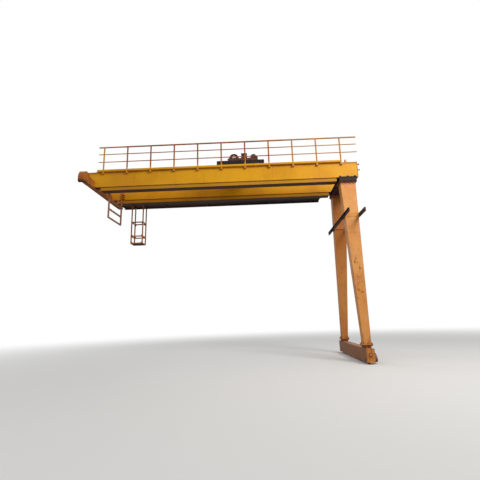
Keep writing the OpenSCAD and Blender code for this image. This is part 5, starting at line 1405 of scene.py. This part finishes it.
def motor_covers(rows):
    """Fins, fan cover, flange, lifting eye, feet and cable box of the hoist motor. Its bolts join the rows."""
    near, far = -0.72, -0.27
    fins("hoist_motor_fins", "trolley", "machine_paint", [on_motor(near + 0.235)], 0.1335, 0.008, 0.25, 44)
    parts = Shape()
    parts.turned("Y", on_motor(near), [(0.136, 0.088), (0.1395, 0.080), (0.1395, 0.012), (0.126, -0.003),
                                       (0.05, -0.0045), (0.03, -0.0045)], 56)
    for r in (0.045, 0.062, 0.079, 0.096, 0.113):
        parts.turned("Y", on_motor(near - 0.004), [(r, 0.002), (r + 0.008, 0.002), (r + 0.008, -0.005), (r, -0.005)],
                     44, loop=True)
    for angle in round_angles(3, 0.3):
        out, side = spoke(angle)
        parts.loft([[Vector(on_motor(near - 0.007 + h)) + out * r + side * w for w, h in
                     ((-0.004, 0.004), (0.004, 0.004), (0.004, -0.004), (-0.004, -0.004))] for r in (0.03, 0.124)])
    for y, t in ((near + 0.098, 0.016), (far - 0.022, 0.022)):
        parts.turned("Y", on_motor(y), [(0.1415, 0), (0.1415, t)], 56)
    rows += ring_of(on_motor(far), "Y", 0.122, 8, 1, 0.008, 0.4)
    parts.turned("Y", on_motor(far), [(0.132, -0.002), (0.128, 0.005), (0.09, 0.010), (0.048, 0.013),
                                      (0.032, 0.013)], 48)
    parts.turned("Z", (MOTOR_X, -0.48, 8.876), [(0.016, -0.008), (0.016, 0.008), (0.010, 0.010)], 20)
    middle, across, ring = Vector((MOTOR_X, -0.48, 8.904)), Vector((0, 1, 0)), []
    for angle in round_angles(24):
        out = spoke(angle)[0]
        ring.append([middle + out * 0.022 + (out * math.cos(b) + across * math.sin(b)) * 0.0065
                     for b in round_angles(8)])
    parts.loft(ring, loop=True)
    for s in SIDES:
        foot = MOTOR_X + s * 0.113
        parts.block((foot - 0.03, -0.640, BED - 0.0005), (foot + 0.03, -0.372, BED + 0.014))
        rows += [((MOTOR_X + s * 0.131, y, BED + 0.014), UP, 0.013) for y in (-0.615, -0.397)]
    parts.prism("X", rounded((-0.589, 8.661), (-0.441, 8.809), 0.012), -3.734, -3.722)
    rows += [((-3.722, y, z), (1, 0, 0), 0.006) for y in (-0.573, -0.457) for z in (8.677, 8.793)]
    for y in (-0.545, -0.485):
        parts.turned("Z", (-3.758, y, 8.665), [(0.013, 0.002), (0.013, -0.014), (0.0155, -0.015),
                                               (0.0155, -0.026), (0.011, -0.030)], 6)
    parts.piece("hoist_motor_covers", "trolley", "machine_paint", 0.0012)


def couplings(rows):
    """Collars, hubs and brake wheel rims on the shaft to the gearbox. Their bolts join the rows."""
    joints = Shape()
    for y in (-0.27, 0.505):
        joints.turned("Y", on_motor(y), [(0.0635, 0.022), (0.066, 0.024), (0.066, 0.036), (0.0635, 0.038)], 40)
    for y, way in ((-0.21, 1), (0.505, -1)):
        rows += ring_of(on_motor(y), "Y", 0.049, 8, way, 0.008)
        joints.turned("Y", on_motor(y + way * 0.0005),
                      [(0.038, -0.002), (0.038, 0.02), (0.033, 0.024), (0.0305, 0.024)], 28, way=way)
    for s in SIDES:
        joints.turned("Y", on_motor(0.41), [(0.106, 0.0385), (0.106, 0.0405), (0.119, 0.0425), (0.124, 0.0405),
                                            (0.124, 0.038)], 48, way=s)
    joints.piece("drive_couplings", "trolley", "steel", 0.001)


def brake_shoes(rows):
    """Lined shoes on their levers, with the rod and spring over them. Their bolts join the rows."""
    brake, y, rod = Shape(), 0.41, 8.888
    for s in SIDES:
        x = MOTOR_X + s * 0.145
        for k in (-1, 0, 1):
            at = (0 if s > 0 else 180) + k * 26
            brake.prism("Y", arc((MOTOR_X, MOTOR_Z), 0.141, at - 12.5, at + 12.5, 5)
                        + arc((MOTOR_X, MOTOR_Z), 0.1255, at + 12.5, at - 12.5, 5), 0.376, 0.444)
        brake.prism("Y", [(x - 0.012, 8.81), (x + 0.012, 8.81), (x + 0.012 - s * 0.010, 8.905),
                          (x - 0.012 - s * 0.010, 8.905)], 0.385, 0.435)
        brake.turned("Y", (x, y, 8.532), [(0.016, -0.049), (0.016, 0.049)], 20)
        brake.block((x - 0.05, 0.362, DECK - 0.0005), (x + 0.05, 0.458, DECK + 0.012))
        rows += [((x + s * 0.038, foot, DECK + 0.012), UP, 0.010) for foot in (0.38, 0.44)]
        rows.append(((x + s * 0.003, y, rod), (s, 0, 0), 0.014))
    brake.swept([(MOTOR_X - 0.165, y, rod), (MOTOR_X + 0.165, y, rod)], 0.007, 12)
    coils = [(MOTOR_X - 0.075 + 0.15 * i / 96, y + 0.021 * math.cos(TURN * i / 12),
              rod + 0.021 * math.sin(TURN * i / 12)) for i in range(97)]
    brake.swept(coils, 0.004, 8)
    for x in (MOTOR_X - 0.08, MOTOR_X + 0.08):
        brake.turned("X", (x, y, rod), [(0.027, -0.003), (0.027, 0.003)], 20)
    brake.piece("brake_shoes_and_spring", "trolley", "machine_paint", 0.001)


def motor_details():
    rows = []
    motor_covers(rows)
    couplings(rows)
    brake_shoes(rows)
    bolts("hoist_motor_bolts", "trolley", rows)


def switch_box_details():
    x0, x1, y0, y1, z0, z1 = -4.456, -4.206, -0.80, -0.60, BED, 8.877
    parts, dark, rows = Shape(), Shape(), []
    mid = (x0 + x1) / 2
    for a, b in ((x0 + 0.008, mid - 0.0015), (mid + 0.0015, x1 - 0.008)):
        parts.prism("Y", rounded((a, z0 + 0.022), (b, z1 - 0.022), 0.006), y0 - 0.010, y0 + 0.001)
        parts.prism("Y", rounded((a + 0.014, z0 + 0.036), (b - 0.014, z1 - 0.036), 0.006), y0 - 0.0135, y0 - 0.009)
    parts.prism("X", [(y0 - 0.022, z1 - 0.004), (y0 - 0.022, z1 + 0.002), (y0 - 0.005, z1 + 0.014),
                      (y1 + 0.012, z1 + 0.014), (y1 + 0.012, z1 - 0.004)], x0 - 0.010, x1 + 0.010)
    for k in range(5):
        z = z0 + 0.065 + 0.018 * k
        for x, way in ((x0, -1), (x1, 1)):
            parts.prism("Y", [(x, z), (x + way * 0.008, z - 0.003), (x + way * 0.008, z + 0.002), (x, z + 0.011)],
                        -0.755, -0.655)
    parts.piece("switch_box_doors", "trolley", "gear_paint", 0.0015)
    for x in (x0 + 0.006, x1 - 0.006):
        for z in (z0 + 0.06, z1 - 0.06):
            dark.turned("Z", (x, y0 - 0.008, z), [(0.0055, -0.02), (0.0055, 0.02)], 12)
    dark.turned("Y", (mid + 0.022, y0 - 0.0135, z0 + 0.15), [(0.012, 0.002), (0.012, -0.006), (0.008, -0.008)], 20)
    dark.prism("Y", rounded((mid + 0.016, z0 + 0.112), (mid + 0.028, z0 + 0.160), 0.005), y0 - 0.026, y0 - 0.020)
    for x in (x0 - 0.012, x1 + 0.012):
        for y in (-0.765, -0.635):
            dark.block((x - 0.014, y - 0.02, BED - 0.0005), (x + 0.014, y + 0.02, BED + 0.006))
            rows.append(((x, y, BED + 0.006), UP, 0.008))
    for y in (-0.76, -0.715, -0.67):
        dark.turned("X", (x1, y, z0 + 0.036), [(0.015, -0.002), (0.015, 0.010), (0.018, 0.011), (0.018, 0.022),
                                               (0.0125, 0.025)], 6)
    dark.piece("switch_box_fittings", "trolley", "steel", 0.001)
    pipes, start, z = Shape(), x1 + 0.018, z0 + 0.036
    pipes.swept(bend([(start, -0.76, z), (-3.735, -0.76, z), (-3.735, -0.545, z), (-3.758, -0.545, z0 + 0.040),
                      (-3.758, -0.545, 8.645)], 0.04), 0.0105, 12)
    pipes.swept(bend([(start, -0.67, z), (-4.14, -0.67, z), (-4.14, -0.45, z), (-4.14, -0.45, 8.512),
                      (-4.14, 0.41, 8.512), (MOTOR_X - 0.19, 0.41, 8.512), (MOTOR_X - 0.19, 0.41, 8.54)],
                     0.04), 0.0105, 12)
    for x in (-4.05, -3.86):
        pipes.plate("X", [(-0.777, BED), (-0.777, BED + 0.044), (-0.772, BED + 0.050), (-0.748, BED + 0.050),
                          (-0.743, BED + 0.044), (-0.743, BED)], x, 0.009)
    for y in (-0.2, 0.1):
        pipes.plate("Y", [(-4.157, DECK), (-4.157, 8.518), (-4.152, 8.5245), (-4.128, 8.5245), (-4.123, 8.518),
                          (-4.123, DECK)], y, 0.009)
    pipes.piece("hoist_conduits", "trolley", "dark_paint", 0)
    bolts("switch_box_bolts", "trolley", rows)


# Reeving, hook block and hook.
ROPE_X, FALL_X = -4.6237, -4.337  # the falls on the drum's side and on the guide sheave's side
BLOCK_X, BLOCK_Z, GUIDE_Z = -4.4804, 8.047, 8.362
CROSSHEAD = BLOCK_Z - 0.250
SHEAVE_Y = 0.078
BLOCK_FACE = 0.120


def reeving():
    """The rope from the drum's far half down, under a sheave, over the guide and back, for both halves in one."""
    half_turn, falls = [TURN / 2 * i / 16 for i in range(1, 16)], []
    for s in SIDES:
        y, wrap = s * SHEAVE_Y, 0.1433
        falls.append([(DRUM_X + 0.1755, s * 0.116, DRUM_Z), (DRUM_X + 0.1795, s * 0.108, DRUM_Z - 0.13),
                      (ROPE_X - 0.001, s * 0.084, BLOCK_Z + 0.22), (ROPE_X, y, BLOCK_Z),
                      *((BLOCK_X - wrap * math.cos(a), y, BLOCK_Z - wrap * math.sin(a)) for a in half_turn),
                      (FALL_X, y, BLOCK_Z), (FALL_X, y, GUIDE_Z)])
    over = [(FALL_X, SHEAVE_Y * math.cos(a), GUIDE_Z + SHEAVE_Y * math.sin(a)) for a in half_turn]
    near, far = falls
    ropes = ROPES.run("rope_falls", "trolley", "rope", lines([far + over + near[::-1]]), sharp=60,
                      Radius=0.0068, Lay=0.095)
    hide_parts("hoist_ropes")


def upper_sheave_guard():
    """Seats, pin ends, side plates and guard of the sheave under the deck."""
    parts = Shape()
    for s in SIDES:
        x = FALL_X + s * 0.040
        parts.block((x - 0.022, -0.055, 8.479), (x + 0.022, 0.055, 8.486))
        parts.turned("X", (FALL_X + s * 0.041, 0, GUIDE_Z),
                     [(0.024, -0.004), (0.024, 0.006), (0.014, 0.011)], 20, way=s)
        parts.turned("X", (FALL_X, 0, GUIDE_Z),
                     [(0.066, 0.0148), (0.066, 0.018), (0.03, 0.020), (0.03, 0.028)], 32, way=s)
    parts.plate("X", arc((0, GUIDE_Z), 0.094, 25, 155, 12) + arc((0, GUIDE_Z), 0.0905, 155, 25, 12),
                FALL_X, 0.038)
    for y in (-0.025, 0.025):
        for x in (FALL_X - 0.033, FALL_X + 0.033):
            parts.block((x - 0.005, y - 0.006, GUIDE_Z + 0.088), (x + 0.005, y + 0.006, 8.484))
    parts.piece("upper_sheave_guard", "trolley", "machine_paint", 0.001)


def block_details():
    """Covers, keepers, sheave sides and lower guards of the hook block."""
    block, rows, low = Shape(), [], BLOCK_Z - 0.215
    for s in SIDES:
        y, face, keeper = s * SHEAVE_Y, s * BLOCK_FACE, s * (BLOCK_FACE + 0.006)
        block.turned("Y", (BLOCK_X, face, BLOCK_Z),
                     [(0.052, -0.003), (0.052, 0.004), (0.040, 0.0075), (0.012, 0.0075)], 36, way=s)
        rows += ring_of((BLOCK_X, s * (BLOCK_FACE + 0.004), BLOCK_Z), "Y", 0.045, 4, s, 0.006, 0.6)
        block.prism("Y", rounded((BLOCK_X - 0.060, low - 0.03), (BLOCK_X + 0.060, low + 0.03), 0.02, 4),
                    s * (BLOCK_FACE - 0.002), keeper)
        rows += [((BLOCK_X + a * 0.045, keeper, low), (0, s, 0), 0.010) for a in SIDES]
        rows += [((BLOCK_X + a * 0.062, face, BLOCK_Z - 0.12 - 0.05 * b), (0, s, 0), 0.009)
                 for a in SIDES for b in (0, 1)]
        rows += [((BLOCK_X + a * 0.065, face, BLOCK_Z + 0.065), (0, s, 0), 0.009) for a in SIDES]
        guard = arc((BLOCK_X, BLOCK_Z), 0.1655, 205, 335, 18) + arc((BLOCK_X, BLOCK_Z), 0.1615, 335, 205, 18)
        block.plate("Y", guard, y, 0.024)
        for angle in (-55, -125):
            x = BLOCK_X + 0.163 * math.cos(math.radians(angle))
            z = BLOCK_Z + 0.163 * math.sin(math.radians(angle))
            block.block((x - 0.006, y, z - 0.006), (x + 0.006, s * (BLOCK_FACE - 0.010), z + 0.006))
        block.turned("Y", (BLOCK_X, y, BLOCK_Z), [(0.118, -0.0202), (0.118, -0.0215), (0.05, -0.0235),
                                                  (0.045, -0.0262), (0.045, 0.0262), (0.05, 0.0235),
                                                  (0.118, 0.0215), (0.118, 0.0202)], 44)
    block.piece("block_guards_and_keepers", "trolley", "machine_paint", 0.0015)
    bolts("block_bolts", "trolley", rows)


HOOK_NECK, HOOK_MID = 0.070, 0.069  # length of the neck, and radius of the bowl's middle line
HOOK_CENTRE = CROSSHEAD - HOOK_NECK - HOOK_MID


def forged_hook():
    """Swept hook, thickest at the side of the bowl, with its shank and nut, in place of the plain hook."""
    shank = [(BLOCK_X, CROSSHEAD + rise, 0.0215) for rise in (0.078, 0.02, -0.03)]
    shank.append((BLOCK_X, CROSSHEAD - HOOK_NECK + 0.004, 0.0205))
    bowl = []
    for i, (x, z) in enumerate(arc((BLOCK_X, HOOK_CENTRE), HOOK_MID, 90, 352, 30)):
        share = i / 30
        swelling, thinning = math.sin(math.pi * min(share * 1.25, 1)), max(0, share - 0.72) / 0.28
        bowl.append((x, z, 0.0203 + 0.0027 * swelling - 0.0095 * thinning))
    path = shank + bowl + [(BLOCK_X + HOOK_MID * 0.985, HOOK_CENTRE + 0.012, 0.006)]
    rings = []
    for i, (x, z, r) in enumerate(path):
        out = Vector((x - BLOCK_X, 0, z - HOOK_CENTRE)).normalized() if i > 3 else Vector((-1, 0, 0))
        squeeze, taper = (0.84, 0.22) if i > 4 else (1.0, 0.0)
        rings.append([Vector((x, 0, z)) + out * (r * math.cos(t)) +
                      Vector((0, r * squeeze * math.sin(t) * (1 - taper * math.cos(t)), 0))
                      for t in round_angles(20)])
    hook = Shape()
    hook.loft(rings)
    hook.turned("Z", (BLOCK_X, 0, CROSSHEAD + 0.0703), [(0.0335, 0.0), (0.0345, 0.002), (0.0345, 0.026),
                                                        (0.031, 0.0296), (0.012, 0.0296)], 6)
    made = hook.piece("forged_hook", "trolley", "steel", 0.0008, 50)
    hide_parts("hook")


def hook_latch():
    """Two cheeks and a web from the pin at the neck to the hook's tip."""
    latch = Shape()
    tip = Vector((BLOCK_X + 0.064, HOOK_CENTRE + 0.006))
    pin = Vector((BLOCK_X + 0.022, HOOK_CENTRE + HOOK_MID + 0.020))
    ahead = (tip - pin).normalized()
    side = Vector((-ahead.y, ahead.x))
    cheek = [pin + side * 0.009 - ahead * 0.008, pin - side * 0.009 - ahead * 0.008,
             tip - side * 0.004, tip + side * 0.004]
    for y in (-0.021, 0.021):
        latch.plate("Y", cheek, y, 0.0018)
    latch.prism("Y", [pin + side * 0.0085 + ahead * 0.03, pin + side * 0.0055 + ahead * 0.03,
                      tip + side * 0.0010, tip + side * 0.0038], -0.0205, 0.0205)
    latch.turned("Y", (pin.x, 0, pin.y), [(0.005, -0.0255), (0.005, 0.0255)], 14)
    latch.turned("Z", (BLOCK_X, 0, CROSSHEAD - 0.012), [(0.038, -0.002), (0.040, 0.0), (0.040, 0.009),
                                                        (0.037, 0.0115)], 32)
    latch.piece("hook_latch", "trolley", "dark_paint", 0.0006)


trolley_frame_details()
trolley_drive_details()
drum_details()
gearbox_details()
motor_details()
switch_box_details()
reeving()
upper_sheave_guard()
block_details()
forged_hook()
hook_latch()
